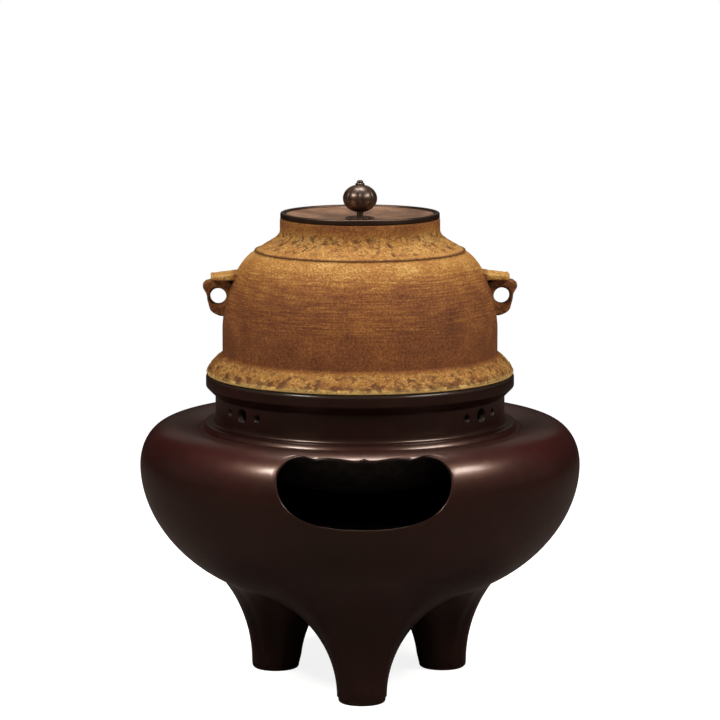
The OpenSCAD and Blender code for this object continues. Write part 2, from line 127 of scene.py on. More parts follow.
def chain(*parts: np.ndarray) -> np.ndarray:
    """Join chains of points end to end and drop doubled points."""
    points = np.concatenate([np.atleast_2d(np.asarray(p, float)) for p in parts])
    keep = np.concatenate([[True], np.linalg.norm(np.diff(points, axis=0), axis=1) > TINY])
    return points[keep]


def ease(t: np.ndarray | float) -> np.ndarray | float:
    """Smooth step from 0 to 1."""
    t = np.clip(t, 0.0, 1.0)
    return t * t * (3 - 2 * t)


def unit(vectors: np.ndarray) -> np.ndarray:
    """Rows scaled to length 1."""
    return vectors / np.maximum(np.linalg.norm(vectors, axis=1, keepdims=True), TINY)


# Meshes


def lathe(profile: np.ndarray, columns: int) -> tuple[np.ndarray, Faces, list[int]]:
    """Turn a profile of (radius, height) points about the upright axis.

    Args:
        profile: The points, of which only the first and last may lie on the axis.
        columns: Number of columns round the axis. The first one is at the back.

    Returns:
        The points in space, the faces row by row, and the first point's number in each row.
    """
    angles = 2 * math.pi * np.arange(columns) / columns - math.pi
    points: list[np.ndarray] = []
    starts: list[int] = []
    total = 0
    for radius, height in profile:
        starts.append(total)
        if radius < TINY:
            ring = np.array([[0.0, 0.0, height]])
        else:
            across, back = radius * np.sin(angles), -radius * np.cos(angles)
            ring = np.column_stack([across, back, np.full(columns, height)])
        points.append(ring)
        total += len(ring)
    faces: Faces = []
    for i in range(len(profile) - 1):
        a, b = starts[i], starts[i + 1]
        for j in range(columns):
            k = (j + 1) % columns
            if profile[i, 0] < TINY:
                faces.append((a, b + k, b + j))
            elif profile[i + 1, 0] < TINY:
                faces.append((a + j, a + k, b))
            else:
                faces.append((a + j, a + k, b + k, b + j))
    return np.concatenate(points), faces, starts


def strips(columns: int, count: int, closed: bool) -> Faces:
    """Faces between neighbouring columns of count points each, closed round or left open."""
    faces: Faces = []
    for j in range(columns if closed else columns - 1):
        a, b = j * count, (j + 1) % columns * count
        faces.extend((a + i, b + i, b + i + 1, a + i + 1) for i in range(count - 1))
    return faces


def turned(points: np.ndarray, degrees: float) -> np.ndarray:
    """Points turned about the upright axis."""
    a = math.radians(degrees)
    spin = np.array([[math.cos(a), -math.sin(a), 0], [math.sin(a), math.cos(a), 0], [0, 0, 1]])
    return points @ spin.T


def make_piece(
    name: str,
    points: np.ndarray,
    faces: Faces,
    materials: Sequence[Material],
    slots: Sequence[int] | None = None,
    marks: dict[str, np.ndarray] | None = None,
    crisp: float = 45.0,
) -> Piece:
    """Make a smooth-shaded object at the origin from points in millimetres.

    Args:
        name: Name of the piece.
        points: Points in the row frame, in millimetres.
        faces: Faces as point numbers.
        materials: Materials in slot order.
        slots: Material slot of each face, or all in the first.
        marks: Named values, one for each point, that a material reads.
        crisp: Angle in degrees from which an edge stays sharp.

    Returns:
        The new object.
    """
    mesh = bpy.data.meshes.new(name)
    mesh.from_pydata((np.asarray(points, float) * MM).tolist(), [], faces)
    for material in materials:
        mesh.materials.append(material)
    if slots is not None:
        mesh.polygons.foreach_set("material_index", np.asarray(slots, np.int32))
    for label, values in (marks or {}).items():
        layer = mesh.attributes.new(label, "FLOAT", "POINT")
        layer.data.foreach_set("value", np.asarray(values, np.float32))
    work = bmesh.new()
    work.from_mesh(mesh)
    bmesh.ops.delete(work, geom=[v for v in work.verts if not v.link_faces], context="VERTS")
    bmesh.ops.remove_doubles(work, verts=work.verts, dist=TINY)
    bmesh.ops.recalc_face_normals(work, faces=work.faces)
    work.to_mesh(mesh)
    work.free()
    mesh.polygons.foreach_set("use_smooth", np.ones(len(mesh.polygons), bool))
    mesh.set_sharp_from_angle(angle=math.radians(crisp))
    piece = bpy.data.objects.new(name, mesh)
    bpy.context.scene.collection.objects.link(piece)
    return piece


def settle(piece: Piece, body: str, slot: str, *nodes: str) -> None:
    """Put a finished piece on its body in place of its CAD nodes, and log it.

    Args:
        piece: The finished piece.
        body: The CAD body that it rides on.
        slot: The record's material slot; not used.
        nodes: The CAD nodes that it stands for.
    """
    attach(piece, body)
    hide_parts(*nodes)
    LOG.info("%s: %d faces on %s", piece.name, len(piece.data.polygons), body)


# Node trees


def feed(tree: Tree, node: Node, links: dict) -> None:
    """Set inputs of a node, by name or number, to values or to other nodes' outputs."""
    for key, value in links.items():
        if isinstance(value, Socket):
            tree.links.new(value, node.inputs[key])
        else:
            node.inputs[key].default_value = value


def add(tree: Tree, kind: str, links: dict | None = None, **settings: object) -> Node:
    """Add a node with its settings, values and links.

    Args:
        tree: The tree that takes the node.
        kind: Blender's name of the node's type.
        links: Input name or number to a value or to another node's output.
        settings: Properties of the node.

    Returns:
        The new node.
    """
    node = tree.nodes.new(kind)
    for key, value in settings.items():
        setattr(node, key, value)
    feed(tree, node, links or {})
    return node


def hex_colour(code: str) -> Colour:
    """Turn an sRGB hex colour into Blender's linear colour."""
    parts = [int(code.lstrip("#")[i : i + 2], 16) / 255 for i in (0, 2, 4)]
    r, g, b = (p / 12.92 if p <= 0.04045 else ((p + 0.055) / 1.055) ** 2.4 for p in parts)
    return (r, g, b, 1.0)


def scale_for(size_mm: float) -> float:
    """Pattern scale per metre that gives features of a size in millimetres."""
    return 1.0 / (size_mm * MM)


def calc(tree: Tree, operation: str, *values: Socket | float) -> Socket:
    """One step of arithmetic on sockets and numbers."""
    return add(tree, "ShaderNodeMath", dict(enumerate(values)), operation=operation).outputs[0]


def total(tree: Tree, *values: Socket) -> Socket:
    """Sum of several sockets, added in order."""
    result = values[0]
    for value in values[1:]:
        result = calc(tree, "ADD", result, value)
    return result


def span(tree: Tree, value: Socket, source: Pair, to: Pair) -> Socket:
    """Map a value smoothly from one range to another and clamp it."""
    links = dict(enumerate((value, *source, *to)))
    return add(tree, "ShaderNodeMapRange", links, interpolation_type="SMOOTHSTEP").outputs[0]


def span_mm(tree: Tree, metres: Socket, source_mm: Pair, to: Pair) -> Socket:
    """Map a length in metres from a range in millimetres."""
    return span(tree, metres, (source_mm[0] * MM, source_mm[1] * MM), to)


def ramp(tree: Tree, fac: Socket, stops: Sequence[tuple[float, str]]) -> Socket:
    """Colour ramp between hex colours.

    Args:
        tree: The material's tree.
        fac: What drives the ramp.
        stops: Position and colour of each stop.

    Returns:
        The ramp's colour output.
    """
    node = add(tree, "ShaderNodeValToRGB", {"Fac": fac})
    elements = node.color_ramp.elements
    while len(elements) < len(stops):
        elements.new(0.5)
    for element, (position, code) in zip(elements, stops):
        element.position = position
        element.color = hex_colour(code)
    return node.outputs["Color"]


def mix(tree: Tree, share: Socket, a: Socket | Colour, b: Colour) -> Socket:
    """Colour a, going over to colour b by a share."""
    return add(tree, "ShaderNodeMix", {0: share, 6: a, 7: b}, data_type="RGBA").outputs[2]


def speckle(tree: Tree, place: Socket, size_mm: float, detail: float, **more: float) -> Socket:
    """Noise with features of a size in millimetres; further inputs are given by name."""
    links = {"Vector": place, "Scale": scale_for(size_mm), "Detail": detail, **more}
    return add(tree, "ShaderNodeTexNoise", links).outputs["Fac"]


def stretch(tree: Tree, place: Socket, scale: Triple) -> Socket:
    """A place scaled along each axis."""
    return add(tree, "ShaderNodeMapping", {"Vector": place, "Scale": scale}).outputs["Vector"]


def distance(tree: Tree, place: Socket) -> Socket:
    """Distance of a place from the origin."""
    return add(tree, "ShaderNodeVectorMath", {0: place}, operation="LENGTH").outputs["Value"]


def axis_distance(tree: Tree, place: Socket) -> Socket:
    """Distance of a place from the upright axis."""
    return distance(tree, stretch(tree, place, (1.0, 1.0, 0.0)))


def height_of(tree: Tree, place: Socket) -> Socket:
    """Height of a place."""
    return add(tree, "ShaderNodeSeparateXYZ", {"Vector": place}).outputs["Z"]


def bumps(tree: Tree, height: Socket, strength: float, depth_mm: float) -> Socket:
    """Normal of a surface raised by a pattern, with the depth in millimetres."""
    links = {"Height": height, "Strength": strength, "Distance": depth_mm * MM}
    return add(tree, "ShaderNodeBump", links).outputs["Normal"]


# Finishes


class Finish:
    """A finish of one real material; its dress method lays out the shader."""

    name: str = "finish"

    def material(self) -> Material:
        """Build the material once and return it."""
        found = bpy.data.materials.get(self.name)
        if found:
            return found
        material = bpy.data.materials.new(self.name)
        material.use_nodes = True
        tree = material.node_tree
        tree.nodes.clear()
        shader = add(tree, "ShaderNodeBsdfPrincipled")
        add(tree, "ShaderNodeOutputMaterial", {"Surface": shader.outputs["BSDF"]})
        place = add(tree, "ShaderNodeTexCoord").outputs["Object"]
        self.dress(tree, shader, place)
        return material

    def dress(self, tree: Tree, shader: Node, place: Socket) -> None:
        """Lay out the finish on the shader; each finish has its own."""
        raise NotImplementedError


@dataclass(frozen=True)
class PatinatedBronze(Finish):
    """Cast bronze, chased smooth, baked and waxed: a dark red-brown skin with a soft gloss."""

    name: str = "bronze_cast_dark_red_patina"
    deep: str = "#130806"
    brown: str = "#190907"
    red: str = "#2c0a0a"
    # Painted shade: near black for the lip's top edge, which lies in shade under the kettle's flange
    smoke: str = "#060403"
    glint: str = "#ffd4b6"
    cloud_mm: float = 60.0
    mottle_mm: float = 9.0
    grain_mm: float = 1.6
    shoulder_mm: Pair = (150.0, 190.0)
    neck_mm: Pair = (192.0, 200.0)
    lip_mm: Pair = (231.6, 232.4)

    def dress(self, tree: Tree, shader: Node, place: Socket) -> None:
        """Clouds of red over brown with a faint grain, redder on the shoulder, with painted shade near black
        on the lip's top edge under the kettle's flange.
        """
        clouds = speckle(tree, place, self.cloud_mm, 3.0)
        mottle = speckle(tree, place, self.mottle_mm, 5.0)
        grain = speckle(tree, place, self.grain_mm, 2.0)
        height = height_of(tree, place)
        shoulder = span_mm(tree, height, self.shoulder_mm, (0.0, 0.32))
        neck = span_mm(tree, height, self.neck_mm, (0.0, -0.3))
        lift = calc(tree, "MULTIPLY", clouds, 0.55)
        lift = calc(tree, "MULTIPLY_ADD", mottle, 0.25, lift)
        lift = total(tree, lift, total(tree, shoulder, neck))
        colour = ramp(tree, lift, [(0.2, self.deep), (0.45, self.brown), (0.95, self.red)])
        # Painted shade: the lip's top edge under the kettle's flange turns near black, and rougher
        flange_shade = span_mm(tree, height, self.lip_mm, (0.0, 1.0))
        gloss = span(tree, mottle, (0.3, 0.7), (0.33, 0.38))
        feed(tree, shader, {
            "Base Color": mix(tree, flange_shade, colour, hex_colour(self.smoke)),
            "Metallic": 0.2,
            "Specular IOR Level": 0.34,
            "Specular Tint": hex_colour(self.glint),
            "Coat Weight": 0.26,
            "Coat Roughness": 0.2,
            "Roughness": calc(tree, "MULTIPLY_ADD", flange_shade, 0.5, gloss),
            "Normal": bumps(tree, grain, 0.04, 0.3),
        })


@dataclass(frozen=True)
class RustedIron(Finish):
    """Sand-cast iron with a baked ochre rust skin: matt, grainy, dark in its pitted hollows.

    The pairs in millimetres are heights over which the skin changes; lugs_mm is a distance from the axis.
    """

    name: str = "iron_sand_cast_ochre_rust"
    dark: str = "#361a0b"
    low: str = "#583116"
    mid: str = "#724c20"
    pale: str = "#967a46"
    grain_mm: float = 1.5
    patch_mm: float = 18.0
    stroke_mm: float = 1.0
    bark_mm: float = 4.2
    wall_light_mm: Pair = (250.0, 300.0)
    crown_light_mm: Pair = (298.0, 322.0)
    flange_mm: Pair = (250.0, 246.0)
    collar_shade_mm: Pair = (339.0, 346.0)
    edge_mm: Pair = (237.6, 236.4)
    low_row_mm: Pair = (241.5, 238.5)
    brow_mm: Pair = (303.0, 306.0)
    lugs_mm: Pair = (93.5, 96.5)
    turned_from_mm: Pair = (262.0, 280.0)
    turned_to_mm: Pair = (312.0, 322.0)

    def dress(self, tree: Tree, shader: Node, place: Socket) -> None:
        """Grain and turned strokes over a skin that pales upwards, with dark flecks where the mesh is rough;
        the paling up the wall and over the crown is painted light from above, the darkening at the collar's
        top is painted shade under the lid, and the dark raised line at the rough band's foot is painted
        shadow under the band's edge.

        The sand grain of about 0.4 mm is too fine to show, so it is drawn at 1.5 mm.
        """
        grain = speckle(tree, place, self.grain_mm, 4.0, Roughness=0.7)
        patch = speckle(tree, place, self.patch_mm, 4.0)
        stroke = speckle(tree, stretch(tree, place, (0.045, 0.045, 1.0)), self.stroke_mm, 2.0)
        knobbly = stretch(tree, place, (0.8, 0.8, 1.1))
        bark = speckle(tree, knobbly, self.bark_mm, 6.0, Roughness=0.62, Distortion=0.6)
        # This mark holds the cast pitting, and near 1 the raised line's painted shadow under the rough band's
        # edge
        pit_and_shadow = add(tree, "ShaderNodeAttribute", attribute_name="pit_and_shadow").outputs["Fac"]
        height = height_of(tree, place)

        def by_height(range_mm: Pair, start: float, end: float) -> Socket:
            """A value that goes from start to end over a range of heights."""
            return span_mm(tree, height, range_mm, (start, end))

        outside = span_mm(tree, axis_distance(tree, place), self.lugs_mm, (0.0, 1.0))
        rise = total(
            tree,
            # Painted light from above: paler up the wall and over the crown
            by_height(self.wall_light_mm, 0.0, 0.05),
            by_height(self.crown_light_mm, 0.0, 0.2),
            by_height(self.flange_mm, 0.0, 0.24),
            # Painted shade: darker at the collar's top under the lid
            by_height(self.collar_shade_mm, 0.0, -0.16),
            by_height(self.edge_mm, 0.0, 0.2),
            calc(tree, "MULTIPLY", by_height(self.brow_mm, 0.0, 0.15), outside),
        )
        start, end = by_height(self.turned_from_mm, 0.0, 1.0), by_height(self.turned_to_mm, 1.0, 0.0)
        turned_part = calc(tree, "MULTIPLY", start, end)
        turned_part = calc(tree, "MULTIPLY", turned_part, span(tree, pit_and_shadow, (0.0, 0.2), (1.0, 0.0)))
        lines = span(tree, stroke, (0.34, 0.66), (-0.075, 0.06))
        lines = calc(tree, "MULTIPLY", lines, turned_part)
        tone = calc(tree, "MULTIPLY_ADD", grain, 0.78, rise)
        tone = calc(tree, "MULTIPLY_ADD", patch, 0.28, tone)
        tone = total(tree, tone, lines)
        skin = ramp(tree, tone, [(0.36, self.dark), (0.58, self.low), (0.76, self.mid), (0.95, self.pale)])
        fleck = total(tree, bark, by_height(self.low_row_mm, 0.0, 0.09))
        fleck = span(tree, fleck, (0.45, 0.63), (0.0, 0.95))
        # Painted shadow: the raised line at the rough band's foot is coloured dark
        thread_shadow = span(tree, pit_and_shadow, (0.92, 0.99), (0.0, 0.8))
        sunk_and_shadow = calc(tree, "MAXIMUM", calc(tree, "MULTIPLY", fleck, pit_and_shadow), thread_shadow)
        relief = calc(tree, "MULTIPLY_ADD", lines, 1.5, grain)
        relief = calc(tree, "MULTIPLY_ADD", sunk_and_shadow, -1.2, relief)
        feed(tree, shader, {
            "Base Color": mix(tree, sunk_and_shadow, skin, hex_colour(self.dark)),
            "Roughness": 0.74,
            "Specular IOR Level": 0.12,
            "Normal": bumps(tree, relief, 0.6, 0.5),
        })


@dataclass(frozen=True)
class LidBronze(Finish):
    """Turned and browned bronze sheet of the lid: satin, paler in the dish, dark on the rim."""

    name: str = "bronze_turned_brown_lid"
    rim: str = "#33241a"
    dish: str = "#8a6a54"
    shade: str = "#6f513f"
    rim_mm: Pair = (54.5, 55.5)
    cloud_mm: float = 18.0
    turning_mm: float = 1.4

    def dress(self, tree: Tree, shader: Node, place: Socket) -> None:
        """Rings left by turning, and a colour that darkens at the rim."""
        radius = axis_distance(tree, place)
        cloud = speckle(tree, place, self.cloud_mm, 5.0)
        body = ramp(tree, cloud, [(0.3, self.shade), (0.7, self.dish)])
        edge = span_mm(tree, radius, self.rim_mm, (0.0, 1.0))
        outward = add(tree, "ShaderNodeCombineXYZ", {"X": radius}).outputs["Vector"]
        rings = speckle(tree, outward, self.turning_mm, 2.0)
        feed(tree, shader, {
            "Base Color": mix(tree, edge, body, hex_colour(self.rim)),
            "Metallic": 0.8,
            "Roughness": span(tree, cloud, (0.3, 0.7), (0.34, 0.46)),
            "Normal": bumps(tree, rings, 0.12, 0.3),
        })


@dataclass(frozen=True)
class KnobBronze(Finish):
    """Handled bronze of the knob: dark brown, rubbed brighter and glossier than the lid."""

    name: str = "bronze_cast_rubbed_knob"
    dark: str = "#1e1410"
    rubbed: str = "#46301f"
    blotch_mm: float = 4.0

    def dress(self, tree: Tree, shader: Node, place: Socket) -> None:
        """Dark blotches between rubbed places."""
        blotch = speckle(tree, place, self.blotch_mm, 4.0)
        feed(tree, shader, {
            "Base Color": ramp(tree, blotch, [(0.35, self.dark), (0.7, self.rubbed)]),
            "Metallic": 0.5,
            "Roughness": span(tree, blotch, (0.3, 0.7), (0.4, 0.3)),
            "Normal": bumps(tree, blotch, 0.05, 0.3),
        })


@dataclass(frozen=True)
class WoodAsh(Finish):
    """Sifted wood ash, tamped: pale warm grey, dead matt, with coarser crumbs."""

    name: str = "wood_ash_sifted"
    pale: str = "#a8a29a"
    grey: str = "#7d776f"
    drift_mm: float = 28.0
    crumb_mm: float = 2.5

    def dress(self, tree: Tree, shader: Node, place: Socket) -> None:
        """Crumbs over drifts of paler and greyer ash."""
        drift = speckle(tree, place, self.drift_mm, 4.0)
        crumb = speckle(tree, place, self.crumb_mm, 5.0, Roughness=0.7)
        tone = calc(tree, "MULTIPLY_ADD", crumb, 0.5, drift)
        feed(tree, shader, {
            "Base Color": ramp(tree, tone, [(0.5, self.grey), (0.95, self.pale)]),
            "Roughness": 0.95,
            "Normal": bumps(tree, crumb, 0.5, 0.6),
        })


@dataclass(frozen=True)
class OakCharcoal(Finish):
    """Split oak charcoal: black with grey bark dust and a faint sheen on the grain."""

    name: str = "charcoal_split_oak"
    black: str = "#0c0b0b"
    dust: str = "#35322f"
    grain_mm: float = 1.8
    dust_mm: float = 12.0

    def dress(self, tree: Tree, shader: Node, place: Socket) -> None:
        """Wood grain in black, dusted grey."""
        grain = speckle(tree, place, self.grain_mm, 6.0)
        tone = calc(tree, "MULTIPLY", grain, speckle(tree, place, self.dust_mm, 5.0))
        feed(tree, shader, {
            "Base Color": ramp(tree, tone, [(0.24, self.black), (0.42, self.dust)]),
            "Roughness": span(tree, grain, (0.3, 0.7), (0.5, 0.8)),
            "Normal": bumps(tree, grain, 0.5, 0.6),
        })


@dataclass(frozen=True)
class MattCrust(Finish):
    """A dull finish with patches of one tone in another, which also raise its surface."""

    ground: str = "#000000"
    patch: str = "#ffffff"
    patch_mm: float = 5.0
    detail: float = 5.0
    stops: Pair = (0.4, 0.75)
    roughness: float = 0.9
    relief_mm: float = 0.6

    def dress(self, tree: Tree, shader: Node, place: Socket) -> None:
        """Patches on the ground tone."""
        crust = speckle(tree, place, self.patch_mm, self.detail)
        feed(tree, shader, {
            "Base Color": ramp(tree, crust, list(zip(self.stops, (self.ground, self.patch)))),
            "Roughness": self.roughness,
            "Normal": bumps(tree, crust, 0.4, self.relief_mm),
        })


@dataclass(frozen=True)
class SootedMetal(MattCrust):
    """Bare cast metal that faces the fire, black with soot, with browner patches of scale."""

    name: str = "bronze_cast_sooted"
    ground: str = "#17110f"
    patch: str = "#33251e"
    patch_mm: float = 7.0
    detail: float = 6.0
    stops: Pair = (0.35, 0.75)


@dataclass(frozen=True)
class FiredClay(MattCrust):
    """Unglazed fired clay of the bottom tile: brick brown with sandy grog."""

    name: str = "clay_fired_unglazed"
    ground: str = "#8a5a40"
    patch: str = "#b08a68"
    patch_mm: float = 2.0
    roughness: float = 0.88
    relief_mm: float = 0.5


@dataclass(frozen=True)
class ScaledIron(MattCrust):
    """Iron inside the kettle: dark brown-black scale from boiling water, with patches of rust."""

    name: str = "iron_cast_water_scale"
    ground: str = "#14100d"
    patch: str = "#3d2415"
    patch_mm: float = 12.0
    detail: float = 7.0
    stops: Pair = (0.42, 0.72)
    roughness: float = 0.82


# The brazier


@dataclass
class Wall:
    """One face of the bowl's wall as a chain of points, with the distance along it."""

    points: np.ndarray

    def __post_init__(self) -> None:
        """Measure the chain, and find the stretch that rises to the shoulder's crown."""
        self.along = lengths(self.points)
        self.crown = int(np.argmax(self.points[:, 1])) + 1

    def at(self, along: np.ndarray) -> np.ndarray:
        """Radius and height at distances along the wall."""
        return np.column_stack([np.interp(along, self.along, self.points[:, i]) for i in (0, 1)])

    def radius_at(self, height: np.ndarray) -> np.ndarray:
        """Radius of the wall at heights below the crown."""
        return np.interp(height, self.points[: self.crown, 1], self.points[: self.crown, 0])

    def along_at(self, height: np.ndarray) -> np.ndarray:
        """Distance along the wall at heights below the crown."""
        return np.interp(height, self.points[: self.crown, 1], self.along[: self.crown])

    def in_space(self, turn: np.ndarray, along: np.ndarray) -> np.ndarray:
        """Points in space at turns from the front, in radians, and distances along the wall."""
        place = self.at(along)
        return np.column_stack([place[:, 0] * np.sin(turn), -place[:, 0] * np.cos(turn), place[:, 1]])


@dataclass
class Zone:
    """A block of rows of the bowl, on its outer or inner face, that holes are cut through."""

    wall: Wall
    along: np.ndarray
    first: int
    rises: bool

    def row(self, step: int) -> int:
        """Row number of a step up from the zone's foot."""
        return self.first + step if self.rises else self.first + len(self.along) - 1 - step


@dataclass(frozen=True)
class BlockPlan:
    """Where the window's block of rows starts and ends on one face, and the rows below and above it."""

    low_z: float
    high_r: float
    below: int
    above: int
    rises: bool


@dataclass
class BrazierBowl:
    """The cast bowl: round belly, crowned shoulder, ring moulding, neck, lip, smoke holes, fire window.

    The reaches are half widths, in degrees, of the shell that makes way for a hole. The window's rays
    meet the wall at depths within search.
    """

    floor_z: float = 65.5
    floor_r: float = 48.0
    belly_r: float = 164.5
    belly_z: float = 165.5
    wall: float = 5.0
    base_spread: float = 76.0
    base_lift: float = 6.0
    hold_low: float = 43.0
    hold_high: float = 20.5
    shoulder_reach: float = 30.0
    shoulder_crown: float = 12.5
    neck_foot_z: float = 193.5
    groove_r: float = 120.0
    ring_r: float = 118.0
    neck_r: float = 108.0
    neck_in_r: float = 103.5
    neck_low_z: float = 201.5
    neck_high_z: float = 217.5
    lip_r: float = 115.0
    lip_low_z: float = 224.5
    seat_z: float = 234.0
    lip_round: float = 3.0
    columns: int = 360
    window_rows: int = 50
    neck_rows: int = 10
    outer_block: BlockPlan = BlockPlan(131.0, 133.0, 46, 7, True)
    inner_block: BlockPlan = BlockPlan(130.0, 130.0, 24, 4, False)
    window_w: float = 123.5
    window_h: float = 52.5
    window_tilt: float = 20.0
    window_reach: float = 34.0
    sill_drop: float = 20.0
    sill_inset: float = 3.0
    window_edge: float = 1.8
    brow_x: float = 44.0
    cusp_x: float = 34.5
    cusp_drop: float = 4.0
    arch_x: float = 8.0
    arch_drop: float = 5.4
    tip_drop: float = 3.6
    search: Pair = (140.0, 225.0)
    halvings: int = 48
    vent_r: float = 5.0
    side_vent_r: float = 2.7
    vent_step: float = 9.0
    vent_reach: float = 4.0
    side_vent_reach: float = 2.7
    vent_z: float = 211.0
    vent_turns: Triple = (-54.0, 54.0, 180.0)
    vent_edge: float = 0.5

    def lower(self, inset: float, count: int) -> np.ndarray:
        """Lower wall from the flat underside to the widest ring, at an inset from the outer face."""
        widest = self.belly_r - inset
        return cubic(
            (self.floor_r, self.floor_z + inset),
            (self.floor_r + self.base_spread - inset / 2, self.floor_z + self.base_lift + inset),
            (widest, self.belly_z - self.hold_low),
            (widest, self.belly_z),
            count,
        )

    def shoulder(self, inset: float, count: int) -> np.ndarray:
        """Shoulder from the widest ring in to the groove, at an inset from the outer face."""
        widest = self.belly_r - inset
        reach = self.groove_r + self.shoulder_reach - inset * 0.6
        return cubic(
            (widest, self.belly_z),
            (widest, self.belly_z + self.hold_high),
            (reach, self.neck_foot_z + self.shoulder_crown - inset),
            (self.groove_r, self.neck_foot_z - inset),
            count,
        )

    def face_of_wall(self, inset: float) -> Wall:
        """Outer or inner face of the wall from the underside to the groove."""
        return Wall(chain(self.lower(inset, 400), self.shoulder(inset, 240)))

    def neck_outline(self) -> np.ndarray:
        """Groove, ring moulding and cove below the upright neck."""
        groove, ring, neck, z = self.groove_r, self.ring_r, self.neck_r, self.neck_foot_z
        return chain(
            cubic((groove, z), (groove - 0.6, z - 0.9), (ring + 0.5, z - 1.1), (ring - 0.1, z + 0.1), 5),
            cubic((ring, z + 0.4), (ring - 0.2, z + 1.3), (ring - 1.5, z + 3.1), (ring - 2.3, z + 3.7), 9),
            line((ring - 2.7, z + 3.9), (neck + 2.2, z + 4.1), 3),
            cubic((neck + 1.6, z + 4.2), (neck + 0.9, z + 4.3), (neck + 0.2, z + 4.9),
                  (neck, self.neck_low_z), 6),
        )

    def lip_outline(self) -> np.ndarray:
        """Crease, sloping underside, upright face and rounded top of the lip."""
        neck, crease, lip, low = self.neck_r, self.neck_high_z, self.lip_r, self.lip_low_z
        shoulder = self.seat_z - self.lip_round
        return chain(
            arc((neck + 1.5, crease + 0.2), 1.5, 180, 138, 2)[1:],
            line((neck + 2.0, crease + 2.2), (lip - 1.4, low - 1.2), 3),
            arc((lip - 1.6, low + 0.9), 1.6, -50, 0, 4),
            line((lip, low + 2.5), (lip, shoulder), 3),
            arc((lip - self.lip_round, shoulder), self.lip_round, 0, 90, 6),
        )

    def window_outline(self) -> np.ndarray:
        """Right half and left half of the window, seen along its tilted axis, from the sill's middle."""
        r, h = self.window_w / 2, self.window_h
        brow, cusp, arch = self.brow_x, self.cusp_x, self.arch_x
        cusp_z, arch_z = h - self.cusp_drop, h - self.arch_drop
        right = chain(
            cubic((0, 0), (r * 0.65, 0), (r, h * 0.22), (r, h * 2 / 3), 60),
            cubic((r, h * 2 / 3), (r, h * 0.87), ((r + brow) / 2, h), (brow, h), 30),
            cubic((brow, h), (brow - 4, h), (cusp + 2, h - 1), (cusp, cusp_z), 14),
            cubic((cusp, cusp_z), (cusp - 4, h - 2), (arch + 15, h - 2), (arch, arch_z), 24),
            cubic((arch, arch_z), (4, arch_z), (2, arch_z), (0, h - self.tip_drop), 12),
        )
        left = right[::-1] * np.array([-1.0, 1.0])
        return chain(right, left[1:-1])

    def through(self, outline: np.ndarray, wall: Wall) -> np.ndarray:
        """Where rays along the window's tilted axis meet a face of the wall.

        Args:
            outline: Points of the outline seen along the axis.
            wall: The face of the wall.

        Returns:
            Points in space.
        """
        tilt = math.radians(self.window_tilt)
        up, out = math.cos(tilt), math.sin(tilt)
        sill = (self.belly_z - self.sill_drop) * up - (self.belly_r - self.sill_inset) * out
        x, w = outline[:, 0], outline[:, 1] + sill
        near, far = (np.full(len(x), depth) for depth in self.search)
        for _ in range(self.halvings):
            depth = (near + far) / 2
            y, z = w * out - depth * up, depth * out + w * up
            outside = np.hypot(x, y) > wall.radius_at(z)
            far = np.where(outside, depth, far)
            near = np.where(outside, near, depth)
        return np.column_stack([x, w * out - near * up, near * out + w * up])

    def build(self, patina: Material, soot: Material) -> Piece:
        """Lay the rows, cut the holes and close the shell.

        Args:
            patina: Finish of the outer face.
            soot: Finish of the inner face.

        Returns:
            The bowl.
        """
        rows: list[np.ndarray] = []

        def lay(points: np.ndarray) -> int:
            """Append rows and return the number of the first."""
            first = sum(len(r) for r in rows)
            rows.append(np.atleast_2d(points))
            return first

        def zone_of(wall: Wall, plan: BlockPlan) -> Zone:
            """Rows of one face from the underside to the groove, with the window's block among them."""
            start = float(wall.along_at(np.array([plan.low_z]))[0])
            end = float(np.interp(-plan.high_r, -wall.points[wall.crown :, 0], wall.along[wall.crown :]))
            parts = [
                np.linspace(0, start, plan.below + 1)[:-1],
                np.linspace(start, end, self.window_rows + 1),
                np.linspace(end, wall.along[-1], plan.above + 1)[1:],
            ]
            ordered = parts if plan.rises else [part[::-1] for part in reversed(parts)]
            firsts = [lay(wall.at(part)) for part in ordered]
            return Zone(wall, parts[1], firsts[1], plan.rises)

        floor, under, hole = self.floor_z + self.wall, self.neck_foot_z - self.wall, self.neck_in_r
        neck_out, neck_in = (
            Wall(line((r, self.neck_low_z), (r, self.neck_high_z), self.neck_rows))
            for r in (self.neck_r, hole)
        )
        land = line((self.lip_r - 5, self.seat_z), (hole + 0.6, self.seat_z), 4)
        lay(line((0, self.floor_z), (self.floor_r - 6, self.floor_z), 6))
        window_out = zone_of(self.face_of_wall(0.0), self.outer_block)
        lay(self.neck_outline()[1:-1])
        vents_out = Zone(neck_out, neck_out.along, lay(neck_out.points), True)
        lay(self.lip_outline())
        inside = lay(land) + len(land) - 1
        lay([[hole, self.seat_z - 0.6], [hole, self.neck_high_z + 7.5]])
        vents_in = Zone(neck_in, neck_in.along, lay(neck_in.points[::-1]), False)
        lay([[hole, self.neck_low_z - 4.5], [hole, under + 1], [hole + 1, under], [self.neck_r + 4, under]])
        window_in = zone_of(self.face_of_wall(self.wall), self.inner_block)
        lay(line((self.floor_r - 12, floor), (0, floor), 3))
        profile = np.concatenate(rows)
        points, faces, starts = lathe(profile, self.columns)
        slots = np.repeat((np.arange(len(profile) - 1) >= inside).astype(int), self.columns)

